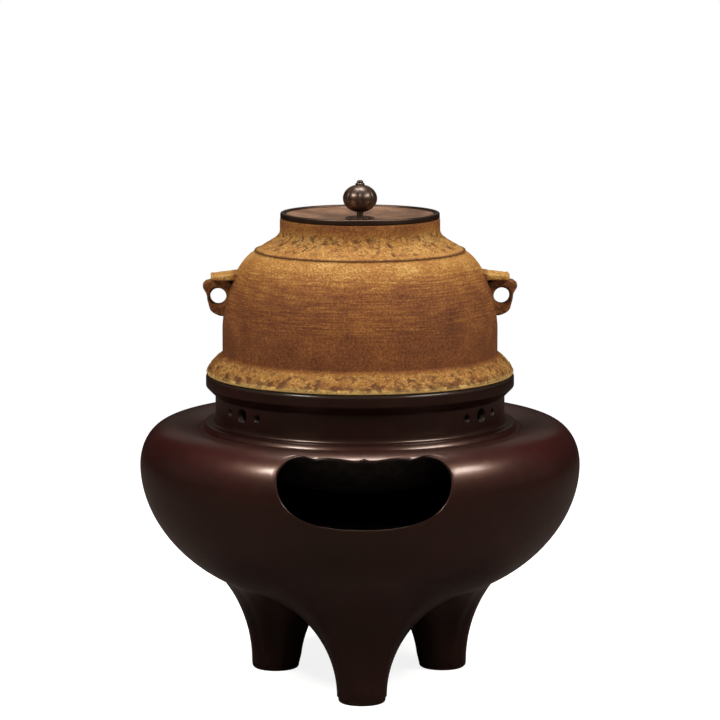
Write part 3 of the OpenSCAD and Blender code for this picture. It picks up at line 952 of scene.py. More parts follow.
        shell = Shell(points, faces, starts, slots, self.columns)
        step = 360.0 / self.columns
        shell.pierce(window_out, window_in, 0.0, round(self.window_reach / step), self.window_outline(),
                     (0.0, self.window_h / 2), self.through, self.window_edge, rings_out=8, rings_in=4)
        side = (self.side_vent_r, self.side_vent_reach)
        trio = ((0.0, self.vent_r, self.vent_reach), (-self.vent_step, *side), (self.vent_step, *side))
        for turn in self.vent_turns:
            for offset, radius, reach in trio:
                self.vent(shell, vents_out, vents_in, turn + offset, radius, round(reach / step))
        return shell.finish("furo_bowl_cast", [patina, soot])

    def vent(self, shell: "Shell", out: Zone, inn: Zone, turn: float, radius: float, half: int) -> None:
        """Cut one round smoke hole through the neck.

        Args:
            shell: The bowl's shell.
            out: Outer face of the neck.
            inn: Inner face of the neck.
            turn: Turn of the hole from the front in degrees.
            radius: Radius of the hole.
            half: Columns of the shell that make way on each side.
        """
        circle = arc((0, 0), radius, -90, 270, 96)[:-1]

        def straight(outline: np.ndarray, wall: Wall) -> np.ndarray:
            """Points where the hole's wall meets a face of the neck."""
            r = wall.points[0, 0]
            deep = np.sqrt(r * r - outline[:, 0] ** 2)
            flat = np.column_stack([outline[:, 0], -deep, outline[:, 1] + self.vent_z])
            return turned(flat, turn)

        shell.pierce(out, inn, math.radians(turn), half, circle, (0.0, 0.0), straight, self.vent_edge,
                     rings_out=3, rings_in=2)


class Shell:
    """A turned shell of two faces with holes cut through both."""

    def __init__(
        self, points: np.ndarray, faces: Faces, starts: list[int], slots: np.ndarray, columns: int
    ) -> None:
        """Keep the turned shell's points and faces.

        Args:
            points: Points in space.
            faces: Faces row by row.
            starts: First point of each row.
            slots: Material slot of each face.
            columns: Columns round the axis.
        """
        self.points = [points]
        self.count = len(points)
        self.faces = faces
        self.starts = starts
        self.slots = slots
        self.columns = columns
        self.keep = np.ones(len(faces), bool)
        self.extra: Faces = []
        self.extra_slots: list[int] = []

    def loop(self, zone: Zone, centre: int, half: int) -> tuple[np.ndarray, np.ndarray, np.ndarray]:
        """Points round the block of faces that a hole takes out, and drop those faces.

        Args:
            zone: The rows of the block.
            centre: Middle column.
            half: Columns on each side.

        Returns:
            Point numbers anticlockwise from the lower left, their columns and distances along the wall.
        """
        top = len(zone.along) - 1
        low, high = centre - half, centre + half
        path = [(0, c) for c in range(low, high)] + [(s, high) for s in range(top)]
        path += [(top, c) for c in range(high, low, -1)] + [(s, low) for s in range(top, 0, -1)]
        for s in range(top):
            row = min(zone.row(s), zone.row(s + 1))
            for c in range(low, high):
                self.keep[row * self.columns + c % self.columns] = False
        ids = np.array([self.starts[zone.row(s)] + c % self.columns for s, c in path])
        turns = np.array([c for _, c in path], float)
        return ids, turns, zone.along[[s for s, _ in path]]

    def put(self, points: np.ndarray) -> np.ndarray:
        """Add points and return their numbers."""
        first = self.count
        self.points.append(points)
        self.count += len(points)
        return np.arange(first, self.count)

    def band(self, a: np.ndarray, b: np.ndarray, slot: int) -> None:
        """Join two loops of points with a band of faces."""
        n = len(a)
        for i in range(n):
            j = (i + 1) % n
            self.extra.append((int(a[i]), int(a[j]), int(b[j]), int(b[i])))
            self.extra_slots.append(slot)

    def pierce(
        self,
        out: Zone,
        inn: Zone,
        turn: float,
        half: int,
        outline: np.ndarray,
        middle: Pair,
        meet: Callable[[np.ndarray, Wall], np.ndarray],
        edge: float,
        rings_out: int,
        rings_in: int,
    ) -> None:
        """Cut a hole with rounded edges through both faces.

        Args:
            out: Rows of the outer face.
            inn: Rows of the inner face.
            turn: Turn of the hole's middle from the front in radians.
            half: Columns that make way on each side.
            outline: Dense outline of the hole, seen along its axis.
            middle: Middle of the outline.
            meet: Finds where the outline meets a face.
            edge: Rounding of the outer edge.
            rings_out: Rings of faces between block and hole outside.
            rings_in: The same inside.
        """
        full = 2 * math.pi
        step = full / self.columns
        centre = int(round((turn + math.pi) / step))
        ids_out, cols, along_out = self.loop(out, centre, half)
        ids_in, _, along_in = self.loop(inn, centre, half)
        u = (cols - centre) / half
        w = (along_out - out.along[0]) / (out.along[-1] - out.along[0]) * 2 - 1
        angles = np.arctan2(w, u)
        rel = outline - np.asarray(middle)
        size = np.abs(rel).max(axis=0)
        around = np.unwrap(np.arctan2(rel[:, 1] / size[1], rel[:, 0] / size[0]))
        order = np.argsort(around)
        around, rel = around[order], rel[order]
        turns = np.concatenate([around - full, around, around + full])
        loop3 = np.concatenate([rel, rel, rel])
        wanted = np.column_stack([np.interp(angles, turns, loop3[:, i]) for i in (0, 1)]) + np.asarray(middle)
        cut_out, cut_in = meet(wanted, out.wall), meet(wanted, inn.wall)
        every = np.concatenate(self.points)
        grain = unit(np.roll(cut_out, -1, axis=0) - np.roll(cut_out, 1, axis=0))
        deep = unit(cut_in - cut_out)

        def rounded(ids: np.ndarray, cut: np.ndarray, into: np.ndarray, size_mm: float, steps: int) -> list:
            """Loops of a quarter round from a face into the hole."""
            back = every[ids] - cut
            side = unit(back - (back * grain).sum(axis=1, keepdims=True) * grain)
            mid = cut + size_mm * (side + into)
            bends = np.linspace(0, math.pi / 2, steps + 1)
            return [mid - size_mm * (into * math.cos(t) + side * math.sin(t)) for t in bends]

        def fill(ids: np.ndarray, along: np.ndarray, zone: Zone, goal: np.ndarray, rings: int) -> list:
            """Loops on a face between the block's edge and the hole's rounded edge."""
            turn_a = cols * step - math.pi
            turn_b = np.arctan2(goal[:, 0], -goal[:, 1])
            turn_b = turn_a + (turn_b - turn_a + math.pi) % full - math.pi
            along_b = zone.wall.along_at(goal[:, 2])
            loops = [ids]
            for k in range(1, rings):
                t = 1 - (1 - k / rings) ** 1.5
                place = zone.wall.in_space(turn_a + (turn_b - turn_a) * t, along + (along_b - along) * t)
                loops.append(self.put(place))
            return loops

        loops_out = rounded(ids_out, cut_out, deep, edge, 4)
        loops_in = rounded(ids_in, cut_in, -deep, edge / 2, 2)
        chain_out = fill(ids_out, along_out, out, loops_out[0], rings_out) + [self.put(p) for p in loops_out]
        chain_in = fill(ids_in, along_in, inn, loops_in[0], rings_in) + [self.put(p) for p in loops_in]
        for a, b in zip(chain_out, chain_out[1:]):
            self.band(a, b, 0)
        self.band(chain_out[-1], chain_in[-1], 1)
        for a, b in zip(chain_in, chain_in[1:]):
            self.band(b, a, 1)

    def finish(self, name: str, materials: Sequence[Material]) -> Piece:
        """Make the object from what is kept and added."""
        faces = [f for f, k in zip(self.faces, self.keep) if k] + self.extra
        slots = list(self.slots[self.keep]) + self.extra_slots
        return make_piece(name, np.concatenate(self.points), faces, materials, slots, crisp=50.0)


@dataclass
class BrazierLeg:
    """One leg: a round foot that runs into the bowl's underside with a wide rolling fillet."""

    place: LegPlace
    bowl: BrazierBowl
    circle_r: float = 73.6
    foot_r: float = 17.4
    top_r: float = 18.4
    foot_round: float = 1.6
    columns: int = 96
    fillet_rows: int = 34
    outer_fillet: float = 122.0
    side_fillet: float = 80.0
    between_fillet: float = 58.0
    inner_fillet: float = 52.0
    inner_lean: float = 2.6
    lean_from: float = 95.0
    lean_over: float = 40.0
    search_reach: float = 120.0
    edge_past: float = 1.5
    edge_sink: float = 0.12
    cap_sink: float = 0.6

    @staticmethod
    def off_front(degrees: float) -> float:
        """Angle from the outward direction, on either side."""
        return abs((degrees + 180) % 360 - 180)

    def fillet(self, degrees: float) -> float:
        """Fillet radius at an angle from the outward direction."""
        a = self.off_front(degrees)
        outer = self.outer_fillet
        knots = (0.0, 40.0, 90.0, 122.0, 180.0)
        radii = (outer, outer - 4, self.side_fillet, self.between_fillet, self.inner_fillet)
        for (a0, r0), (a1, r1) in zip(zip(knots, radii), zip(knots[1:], radii[1:])):
            if a <= a1:
                return float(r0 + (r1 - r0) * ease((a - a0) / (a1 - a0)))
        return self.inner_fillet

    def build(self, patina: Material) -> Piece:
        """Raise the leg ring by ring and cap it under the bowl.

        Args:
            patina: Finish of the leg.

        Returns:
            The leg.
        """
        flat_z = self.bowl.floor_z
        wall = chain(line((0, flat_z), (self.bowl.floor_r, flat_z), 2), self.bowl.lower(0.0, 300))
        d = np.linspace(0.0, self.search_reach, 1200)
        columns: list[np.ndarray] = []
        for j in range(self.columns):
            degrees = 360.0 * j / self.columns
            side, out = math.sin(math.radians(degrees)), math.cos(math.radians(degrees))
            reach = np.hypot(d * side, self.circle_r + d * out)
            under = np.interp(reach, wall[:, 0], wall[:, 1])
            r = self.fillet(degrees)
            mid = self.top_r + r
            fits = np.abs(d - mid) < r
            gap = under[fits] - np.sqrt(r * r - (d[fits] - mid) ** 2)
            best = int(np.argmin(gap))
            low = float(gap[best])
            touch_d, touch_z = float(d[fits][best]), float(under[fits][best])
            last = math.degrees(math.atan2(touch_z - low, touch_d - mid))
            side_line = chain(
                line((0.0, 0.0), (self.foot_r - self.foot_round, 0.0), 3),
                arc((self.foot_r - self.foot_round, self.foot_round), self.foot_round, -90, 0, 4),
                line((self.foot_r, self.foot_round + 1), (self.top_r, low), 6),
                arc((mid, low), r, 180, last, self.fillet_rows),
            )
            lean = self.inner_lean * float(ease((self.off_front(degrees) - self.lean_from) / self.lean_over))
            swell = np.sin(np.pi * np.clip(side_line[:, 1] / touch_z, 0.0, 1.0))
            side_line[:, 0] += lean * swell * (side_line[:, 0] > 1.0)
            cap = [(touch_d + self.edge_past, self.edge_sink)]
            cap += [(touch_d * share, self.cap_sink) for share in (0.75, 0.5, 0.25, 0.0)]
            cap_line = np.array([(x, float(np.interp(x, d, under)) + sink) for x, sink in cap])
            column = np.concatenate([side_line, cap_line])
            across, depth = column[:, 0] * side, -self.circle_r - column[:, 0] * out
            columns.append(np.column_stack([across, depth, column[:, 1]]))
        node, turn = self.place.value
        points = turned(np.concatenate(columns), turn)
        faces = strips(self.columns, len(columns[0]), True)
        return make_piece(node + "_cast", points, faces, [patina], crisp=60.0)


# The fire bed


@dataclass
class FireBed:
    """Tamped ash over the tile, with split charcoal set on it."""

    bowl: BrazierBowl
    wall: float = 5.3
    ash_gap: float = 0.3
    level_z: float = 89.5
    level_r: float = 66.0
    rim_share: float = 0.4
    slope_hold: float = 19.0
    tile_r: float = 44.3
    tile_top_z: float = 78.5
    floor_t: float = 5.1
    ripples: int = 36
    ripple_h: float = 0.5
    drift_h: float = 0.8
    columns: int = 200
    stick_r: float = 16.0
    stick_l: float = 46.0
    stick_ring_r: float = 36.0
    stick_gap: float = 0.05

    def ash(self, finish: Material) -> Piece:
        """Ash banked to the wall, with the ripples of the ash spoon round its slope.

        Args:
            finish: Finish of the ash.

        Returns:
            The ash bed.
        """
        steps = 400
        bank = self.bowl.lower(self.wall, steps)[: int(steps * self.rim_share) + 1]
        rim = bank - np.array([self.ash_gap, 0.0])
        edge = rim[-1]
        level, flat_r, hold = self.level_z, self.level_r, self.slope_hold
        tile_z, floor_z = self.tile_top_z, self.bowl.floor_z + self.floor_t
        profile = chain(
            [[0.0, tile_z + 0.1]],
            line((self.tile_r - 1, tile_z + 0.1), (self.tile_r, tile_z), 1),
            line((self.tile_r, floor_z), (self.bowl.floor_r - 1, floor_z), 1),
            spread(rim, 20),
            cubic(edge, edge + np.array([-hold, -1.0]), (flat_r + hold, level), (flat_r, level), 40),
            line((flat_r, level), (0.0, level), 30)[1:],
        )
        points, faces, _ = lathe(profile, self.columns)
        radius = np.hypot(points[:, 0], points[:, 1])
        top = (points[:, 2] > level - 0.6) & (radius < edge[0] - 0.5)
        for i in np.nonzero(top)[0]:
            x, y, z = points[i]
            on_slope = float(ease((radius[i] - flat_r) / 12.0) * ease((edge[0] - radius[i]) / 8.0))
            clear = float(ease((radius[i] - 56.0) / 8.0))
            ripple = math.cos(math.atan2(x, -y) * self.ripples) * self.ripple_h * on_slope
            drift = noise.fractal(Vector((x, y, 0)) * 0.06, 0.9, 2.0, 4) * self.drift_h
            points[i, 2] = z - 0.25 * clear + min(0.0, (ripple + drift) * clear - 0.4 * clear)
        return make_piece("ash_bed_tamped", points, faces, [finish], crisp=60.0)

    def stick(self, place: StickPlace, finish: Material) -> Piece:
        """One split stick: barked round side, flat split side down, cracks from pith to bark at its ends.

        Args:
            place: Which stick.
            finish: Finish of the charcoal.

        Returns:
            The stick.
        """
        node, turn = place.value
        around, along, rings = 44, 26, 9
        half = self.stick_l / 2
        seed = Vector((turn * 0.37, 4.1, 7.7))

        def bark(angle: float, x: float) -> float:
            """Radius of the bark at an angle and a place along the stick."""
            lane = Vector((x * 0.09, math.cos(angle) * 2.2, math.sin(angle) * 2.2)) + seed
            return min(self.stick_r, self.stick_r * (0.955 + 0.04 * noise.fractal(lane, 0.8, 2.0, 4)))

        def crack(angle: float, share: float) -> float:
            """Depth of the end cracks at an angle and a share of the radius."""
            wave = abs(math.sin(angle * 6.5 + 0.9 * noise.noise(Vector((angle * 1.7, share, 0)) + seed)))
            return max(0.0, 0.25 - wave) * 9.0 * share

        def end_face(angle: float, end: int) -> list[Pair]:
            """Place along the stick and radius from the pith to the bark of one end."""
            points: list[Pair] = []
            for k in range(rings):
                share = k / (rings - 1)
                chamfer = 0.7 if k == rings - 1 else 0.0
                points.append((end * (half - crack(angle, share) - chamfer), bark(angle, end * half) * share))
            return points

        columns: list[Triple] = []
        for j in range(around + 1):
            a = math.pi * j / around
            stations = [-half + self.stick_l * i / along for i in range(1, along)]
            outline = end_face(a, -1) + [(x, bark(a, x)) for x in stations] + end_face(a, 1)[::-1]
            columns.extend((x, r * math.cos(a), r * math.sin(a)) for x, r in outline)
        count = len(outline)
        last = around * count
        faces = strips(around + 1, count, False)
        faces.extend((i, i + 1, last + i + 1, last + i) for i in range(count - 1))
        points = np.array(columns) + np.array([0.0, -self.stick_ring_r, self.level_z + self.stick_gap])
        return make_piece(node + "_split", turned(points, turn), faces, [finish], crisp=40.0)


# The kettle


@dataclass
class IronKettle:
    """Shoulder kettle: hanging belly, flange, upright wall, round shoulder, rough neck band, collar."""

    seat_z: float = 234.0
    seat_gap: float = 0.02
    bottom_z: float = 150.0
    low_r: float = 99.5
    flat_r: float = 34.0
    belly_spread: float = 37.8
    belly_hold: float = 23.8
    flange_r: float = 114.5
    flange_h: float = 15.0
    wall_r: float = 102.5
    wall: float = 4.5
    shoulder_z: float = 266.0
    line_z: float = 325.0
    line_r: float = 78.0
    collar_z: float = 341.0
    collar_r: float = 59.5
    rim_z: float = 349.5
    mouth_r: float = 54.0
    columns: int = 540
    skin_h: float = 0.07
    lump_h: float = 0.4
    hollow_h: float = 0.25
    hole_x: float = 105.4
    hole_z: float = 291.5
    hole_r: float = 6.0
    lug_half: float = 7.8
    lug_flare: float = 1.6
    brow_z: float = 304.2
    voxel: float = 0.5

    def belly(self, inset: float, count: int) -> np.ndarray:
        """Hanging belly from the bottom's flat up to below the flange."""
        low, floor = self.low_r - inset, self.bottom_z + inset
        return cubic((self.flat_r, floor), (self.flat_r + self.belly_spread, floor),
                     (low, self.bottom_z + self.belly_hold), (low, self.seat_z - self.flange_h), count)

    def outer(self) -> tuple[np.ndarray, int]:
        """Outer profile from the bottom's middle to the rim, and the row where the wall shows."""
        seat, high, wall = self.seat_z, self.flange_h, self.wall_r
        land, neck_r, neck_z = seat + self.seat_gap, self.line_r, self.line_z
        hidden = chain(
            line((0, self.bottom_z), (self.flat_r - 8, self.bottom_z), 3),
            self.belly(0.0, 22),
            line((self.low_r, seat - 10), (self.low_r, land), 2),
            line((self.low_r + 3, land), (self.flange_r - 1.2, land), 3),
        )
        flange = cubic((self.flange_r, seat + 2), (self.flange_r - 2, seat + high * 0.4),
                       (wall + high * 0.4, seat + high * 0.75), (wall, seat + high), 80)
        dome = cubic((wall, self.shoulder_z), (wall, neck_z - 40.4),
                     (neck_r + 15.9, neck_z - 8.2), (neck_r + 0.3, neck_z - 0.4), 120)
        band = cubic((neck_r - 1.2, neck_z + 1.25), (neck_r - 12.2, neck_z + 8.2),
                     (self.collar_r, self.collar_z - 6), (self.collar_r, self.collar_z), 120)
        shown = chain(
            arc((self.flange_r - 1.0, seat + 1.0), 1.0, -80, 0, 3),
            spread(flange, 24),
            line((wall, seat + high + 1), (wall, self.shoulder_z), 10),
            spread(dome, 30)[1:],
            arc((neck_r - 0.1, neck_z + 0.55), 0.6, -60, 110, 5),
            spread(band, 26),
            line((self.collar_r, self.collar_z + 1), (self.collar_r, self.rim_z - 1.2), 7),
            arc((self.collar_r - 1.2, self.rim_z - 1.2), 1.2, 15, 90, 3),
        )
        return chain(hidden, shown), len(hidden)

    def inner(self) -> np.ndarray:
        """Inner profile from the rim down to the middle of the bottom."""
        mouth, collar, wall = self.mouth_r, self.collar_z, self.wall_r - self.wall
        neck_r, neck_z = self.line_r, self.line_z
        return chain(
            line((mouth + 0.8, self.rim_z), (mouth, self.rim_z - 0.8), 1),
            line((mouth, self.rim_z - 3), (mouth, collar), 2),
            cubic((mouth, collar), (mouth, collar - 11), (neck_r - 16, neck_z + 3),
                  (neck_r - 5, neck_z - 5), 6),
            cubic((neck_r - 4, neck_z - 5.5), (neck_r + 12.4, neck_z - 11.8), (wall, neck_z - 44.9),
                  (wall, self.shoulder_z), 7),
            line((wall, self.seat_z + self.flange_h), (self.low_r - self.wall, self.seat_z - 4), 1),
            self.belly(self.wall, 10)[::-1],
            [[0.0, self.bottom_z + self.wall]],
        )

    def build(self, skin: Material, scale: Material, burnt: Material) -> Piece:
        """Turn the kettle and roughen its cast skin.

        Args:
            skin: Finish outside.
            scale: Finish inside.
            burnt: Finish of the belly that hangs in the fire.

        Returns:
            The kettle.
        """
        outer, shown = self.outer()
        profile = chain(outer, self.inner())
        points, faces, starts = lathe(profile, self.columns)
        row_slots = np.where(np.arange(len(profile) - 1) < shown, 2, 0)
        row_slots[len(outer) - 1 :] = 1
        slots = np.repeat(row_slots, self.columns)
        slope = np.gradient(outer, axis=0)
        normal = unit(np.column_stack([slope[:, 1], -slope[:, 0]]))
        pits_and_shadow = np.zeros(len(points))
        run = lengths(outer)
        for row in range(shown, len(outer) - 1):
            height = outer[row, 1]
            over_seat, over_line = height - self.seat_z, height - self.line_z
            flange = float(1 - ease((over_seat - self.flange_h + 3.0) / 4.0)) * float(ease(over_seat / 2.0))
            band = float(ease((over_line - 2.0) / 2.0)) * float(1 - ease((height - self.collar_z + 2) / 4.0))
            # Painted shadow: the raised line under the rough band is marked to be coloured dark
            thread_shadow = float(abs(over_line - 0.5) < 0.8)
            rough = max(flange, band)
            for i in range(starts[row], starts[row] + self.columns):
                x, y, z = points[i]
                push = self.skin_h * noise.fractal(Vector((x, y, z)) * 0.45, 0.7, 2.0, 3)
                pits_and_shadow[i] = thread_shadow
                if rough > 0.01:
                    spoke = Vector((x, y, 0.0)).normalized() * 42.0
                    lane = spoke + Vector((0.0, 0.0, run[row] * 0.3))
                    lump = noise.fractal(lane, 0.6, 2.1, 5)
                    hollow = noise.noise(lane * 0.5 + Vector((31.0, 7.0, 3.0)))
                    deep = float(ease((hollow + 0.35) / 0.7))
                    push += rough * (self.lump_h * lump - self.hollow_h * deep)
                    pits_and_shadow[i] = max(thread_shadow, rough * (0.5 + 0.4 * deep))
                points[i, 0] += push * normal[row, 0] * x / outer[row, 0]
                points[i, 1] += push * normal[row, 0] * y / outer[row, 0]
                points[i, 2] += push * normal[row, 1]
        finishes = [skin, scale, burnt]
        return make_piece("kettle_body_cast", points, faces, finishes, slots, {"pit_and_shadow": pits_and_shadow}, crisp=60.0)

    def lug(self, side: LugSide, skin: Material) -> Piece:
        """One cast ring lug: ring round the hole, nose, cheeks and a brow plate, run together.

        Args:
            side: Which lug.
            skin: Finish of the lug.

        Returns:
            The lug.
        """
        node, turn = side.value
        work = bmesh.new()
        hx, hz = self.hole_x, self.hole_z

        def bump(centre: Point, radii: Point) -> None:
            """Add a rounded lump."""
            made = bmesh.ops.create_uvsphere(work, u_segments=28, v_segments=18, radius=1.0)
            for v in made["verts"]:
                v.co = Vector([c + r * p for c, r, p in zip(centre, radii, v.co)])

        def join(a: list[bmesh.types.BMVert], b: list[bmesh.types.BMVert]) -> None:
            """Join two loops with faces."""
            for i in range(len(a)):
                j = (i + 1) % len(a)
                work.faces.new((a[i], a[j], b[j], b[i]))

        def ring_reach(degrees: float) -> float:
            """Outer radius of the ring at an angle, 0 outwards and 90 up."""
            turns = (0, 13, 22, 27, 31, 39, 50, 60, 72, 90, 130, 200, 258, 280, 299, 309, 325, 345, 360)
            reaches = (8.4, 8.9, 10.6, 12.3, 13.4, 14.2, 14.5, 13.5, 12.9, 13.2,
                       14.5, 14.5, 15.2, 13.3, 11.9, 10.4, 8.8, 8.4, 8.4)
            return float(np.interp(degrees, turns, reaches))

        steps, half, flare = 96, self.lug_half, self.lug_flare
        loop: list[list[bmesh.types.BMVert]] = []
        for k in range(steps):
            degrees = 360.0 * k / steps
            c, s = math.cos(math.radians(degrees)), math.sin(math.radians(degrees))
            far, bore = ring_reach(degrees), self.hole_r
            back = [(far, half - 2.0), (far - 0.6, half), (bore + flare, half),
                    (bore + flare * 0.4, half - 1.5), (bore, half - 4.0)]
            section = [(r, -y) for r, y in reversed(back)] + back
            loop.append([work.verts.new((hx + r * c, y, hz + r * s)) for r, y in section])
        for k in range(steps):
            join(loop[k], loop[(k + 1) % steps])
        plate: list[list[bmesh.types.BMVert]] = []
        brow = ((90.5, 309.6, 15.6), (102.0, 308.1, 15.4), (108.2, 307.3, 14.4), (110.8, 306.8, 13.2))
        for x, top, wide in brow:
            corners = ((-wide, self.brow_z), (wide, self.brow_z), (wide, top), (-wide, top))
            plate.append([work.verts.new((x, y, z)) for y, z in corners])
        for a, b in zip(plate, plate[1:]):
            join(a, b)
        work.faces.new(plate[0][::-1])
        work.faces.new(plate[-1])
        bump((109.8, 0.0, 307.0), (1.3, 12.0, 1.7))
        bump((113.9, 0.0, 299.4), (3.1, 4.0, 3.4))
        for y in (-5.0, 5.0):
            bump((113.4, y, 299.0), (3.3, 2.8, 3.6))
            bump((108.4, y, 300.8), (3.4, 2.9, 2.8))
        bmesh.ops.recalc_face_normals(work, faces=work.faces)
        mesh = bpy.data.meshes.new(node + "_rough")
        work.to_mesh(mesh)
        work.free()
        mesh.transform(((MM, 0, 0, 0), (0, MM, 0, 0), (0, 0, MM, 0), (0, 0, 0, 1)))
        rough = bpy.data.objects.new(node + "_rough", mesh)
        bpy.context.scene.collection.objects.link(rough)
        fuse = rough.modifiers.new("fuse", "REMESH")
        fuse.mode = "VOXEL"
        fuse.voxel_size = self.voxel * MM
        soften = rough.modifiers.new("soften", "SMOOTH")
        soften.iterations = 8
        soften.factor = 0.5
        fused = bpy.data.meshes.new_from_object(rough.evaluated_get(bpy.context.evaluated_depsgraph_get()))
        bpy.data.objects.remove(rough)
        count = len(fused.vertices)
        flat = np.empty(count * 3)
        fused.vertices.foreach_get("co", flat)
        points = flat.reshape(-1, 3) / MM
        faces = [tuple(p.vertices) for p in fused.polygons]
        pits_and_shadow = np.zeros(count)
        for i, (x, y, z) in enumerate(points):
            lump = noise.fractal(Vector((x, y, z)) * 0.3, 0.7, 2.0, 4)
            points[i] += 0.2 * lump * float(ease((math.hypot(x - hx, z - hz) - self.hole_r) / 3.0))
            pits_and_shadow[i] = 0.6 - 0.38 * float(ease((z - self.brow_z + 0.7) / 3.0))
        points = turned(points, turn)
        return make_piece(node + "_cast", points, faces, [skin], marks={"pit_and_shadow": pits_and_shadow}, crisp=80.0)


# The lid and its knob


@dataclass
class BronzeLid:
    """Dished lid with a rounded rim and a locating skirt, and the lobed knob on its petalled seat."""

    rim_r: float = 59.2
    seat_z: float = 349.5
    seat_gap: float = 0.03
    top_z: float = 353.7
    floor_z: float = 348.5
    under_z: float = 345.8
    flat_r: float = 13.0
    skirt_r: float = 53.0
    skirt_z: float = 345.5
    bore_r: float = 2.55
    petals: int = 12
    petal_ring_r: float = 8.3
    petal_r: float = 2.2
    seat_t: float = 1.8
    ball_r: float = 12.9
    ball_half: float = 10.35
    ball_z: float = 363.9
    lobes: int = 8
    groove: float = 0.05
    pin_r: float = 2.4
    bud_z: float = 373.8
    bud_r: float = 3.5
    bud_h: float = 3.8

    def plate(self, finish: Material) -> Piece:
        """The lid's plate, turned as a closed ring round the pin's bore."""
        top, rim, skirt, floor = self.top_z, self.rim_r, self.skirt_r, self.floor_z
        land = self.seat_z + self.seat_gap
        profile = chain(
            [[self.bore_r, self.under_z]],
            line((8.0, self.under_z), (46.0, self.under_z), 4),
            line((skirt - 3.5, self.skirt_z), (skirt - 0.5, self.skirt_z), 1),
            line((skirt, self.skirt_z + 0.5), (skirt, land), 2),
            line((skirt + 2, land), (rim - 0.4, land), 2),
            line((rim, self.seat_z + 0.4), (rim, top - 1.1), 3),
            arc((rim - 1.1, top - 1.1), 1.1, 10, 90, 5),
            arc((rim - 2.3, top - 0.9), 0.9, 90, 165, 4),
            cubic((rim - 3.4, top - 1.2), (rim - 9.6, floor + 1.1), (26.0, floor), (self.flat_r, floor), 26),
            line((self.flat_r - 2, floor), (self.bore_r, floor), 3),
            [[self.bore_r, self.under_z]],
        )
        points, faces, _ = lathe(profile, 240)
        return make_piece("lid_plate_turned", points, faces, [finish], crisp=55.0)

    def pin(self, finish: Material) -> Piece:
        """The pin: peened tail, shank with a collar below the ball, and a bud for its head."""
        pin, bud, z, tip = self.pin_r, self.bud_r, self.bud_z, self.bud_z + self.bud_h
        tail, seat = self.under_z - 1.2, self.floor_z + self.seat_t
        profile = chain(
            [[0.0, tail - 1.2], [3.7, tail - 1.2], [4.3, tail - 0.6], [4.3, tail], [pin, tail]],
            line((pin, self.floor_z), (pin, seat + 1.0), 2),
            cubic((pin, seat + 1.2), (pin + 0.1, seat + 2.0), (pin + 0.1, seat + 2.6), (pin, seat + 3.2), 4),
            [[pin, z]],
            cubic((bud - 0.3, z), (bud + 0.3, z + 0.5), (bud + 0.1, z + 1.3), (bud - 0.9, z + 1.7), 6),
            cubic((bud - 1.2, z + 1.8), (bud - 0.6, z + 2.6), (1.9, tip), (0.0, tip), 9),
        )
        points, faces, _ = lathe(profile, 64)
        return make_piece("knob_pin_bud", points, faces, [finish], crisp=50.0)

    def petal_tree(self, finish: Material) -> Tree:
        """Node tree that sets petals round a ring and joins them to a disc.

        Args:
            finish: Material of the petals.

        Returns:
            The tree, with inputs for the number, ring radius, petal radius, thickness and floor.
        """
        tree = new_tree("petal_ring", {
            "Petals": self.petals,
            "Ring": self.petal_ring_r * MM,
            "Petal": self.petal_r * MM,
            "Thickness": self.seat_t * MM,
            "Floor": self.floor_z * MM,
        })
        given = add(tree, "NodeGroupInput").outputs
        ring = add(tree, "GeometryNodeMeshCircle", {"Vertices": given["Petals"], "Radius": given["Ring"]})
        petal = add(tree, "GeometryNodeMeshUVSphere", {"Segments": 20, "Rings": 12, "Radius": given["Petal"]})
        pressed = {"Geometry": petal.outputs["Mesh"], "Scale": (1.15, 1.0, 0.4)}
        petal = add(tree, "GeometryNodeTransform", pressed)
        spot = add(tree, "GeometryNodeInputPosition")
        aim = add(tree, "FunctionNodeAlignRotationToVector", {"Vector": spot.outputs["Position"]}, axis="X")
        lay = add(tree, "GeometryNodeInstanceOnPoints", {
            "Points": ring.outputs["Mesh"],
            "Instance": petal.outputs["Geometry"],
            "Rotation": aim.outputs["Rotation"],
        })
        real = add(tree, "GeometryNodeRealizeInstances", {"Geometry": lay.outputs["Instances"]})
        disc_size = {"Vertices": 64, "Radius": given["Ring"], "Depth": given["Thickness"]}
        disc = add(tree, "GeometryNodeMeshCylinder", disc_size)
        both = add(tree, "GeometryNodeJoinGeometry", {"Geometry": disc.outputs["Mesh"]})
        tree.links.new(real.outputs["Geometry"], both.inputs["Geometry"])
        half = calc(tree, "MULTIPLY_ADD", given["Thickness"], 0.5, given["Floor"])
        lift = add(tree, "ShaderNodeCombineXYZ", {"Z": half}).outputs["Vector"]
        raised = {"Geometry": both.outputs["Geometry"], "Translation": lift}
        moved = add(tree, "GeometryNodeTransform", raised)
        return end_tree(tree, moved.outputs["Geometry"], finish)

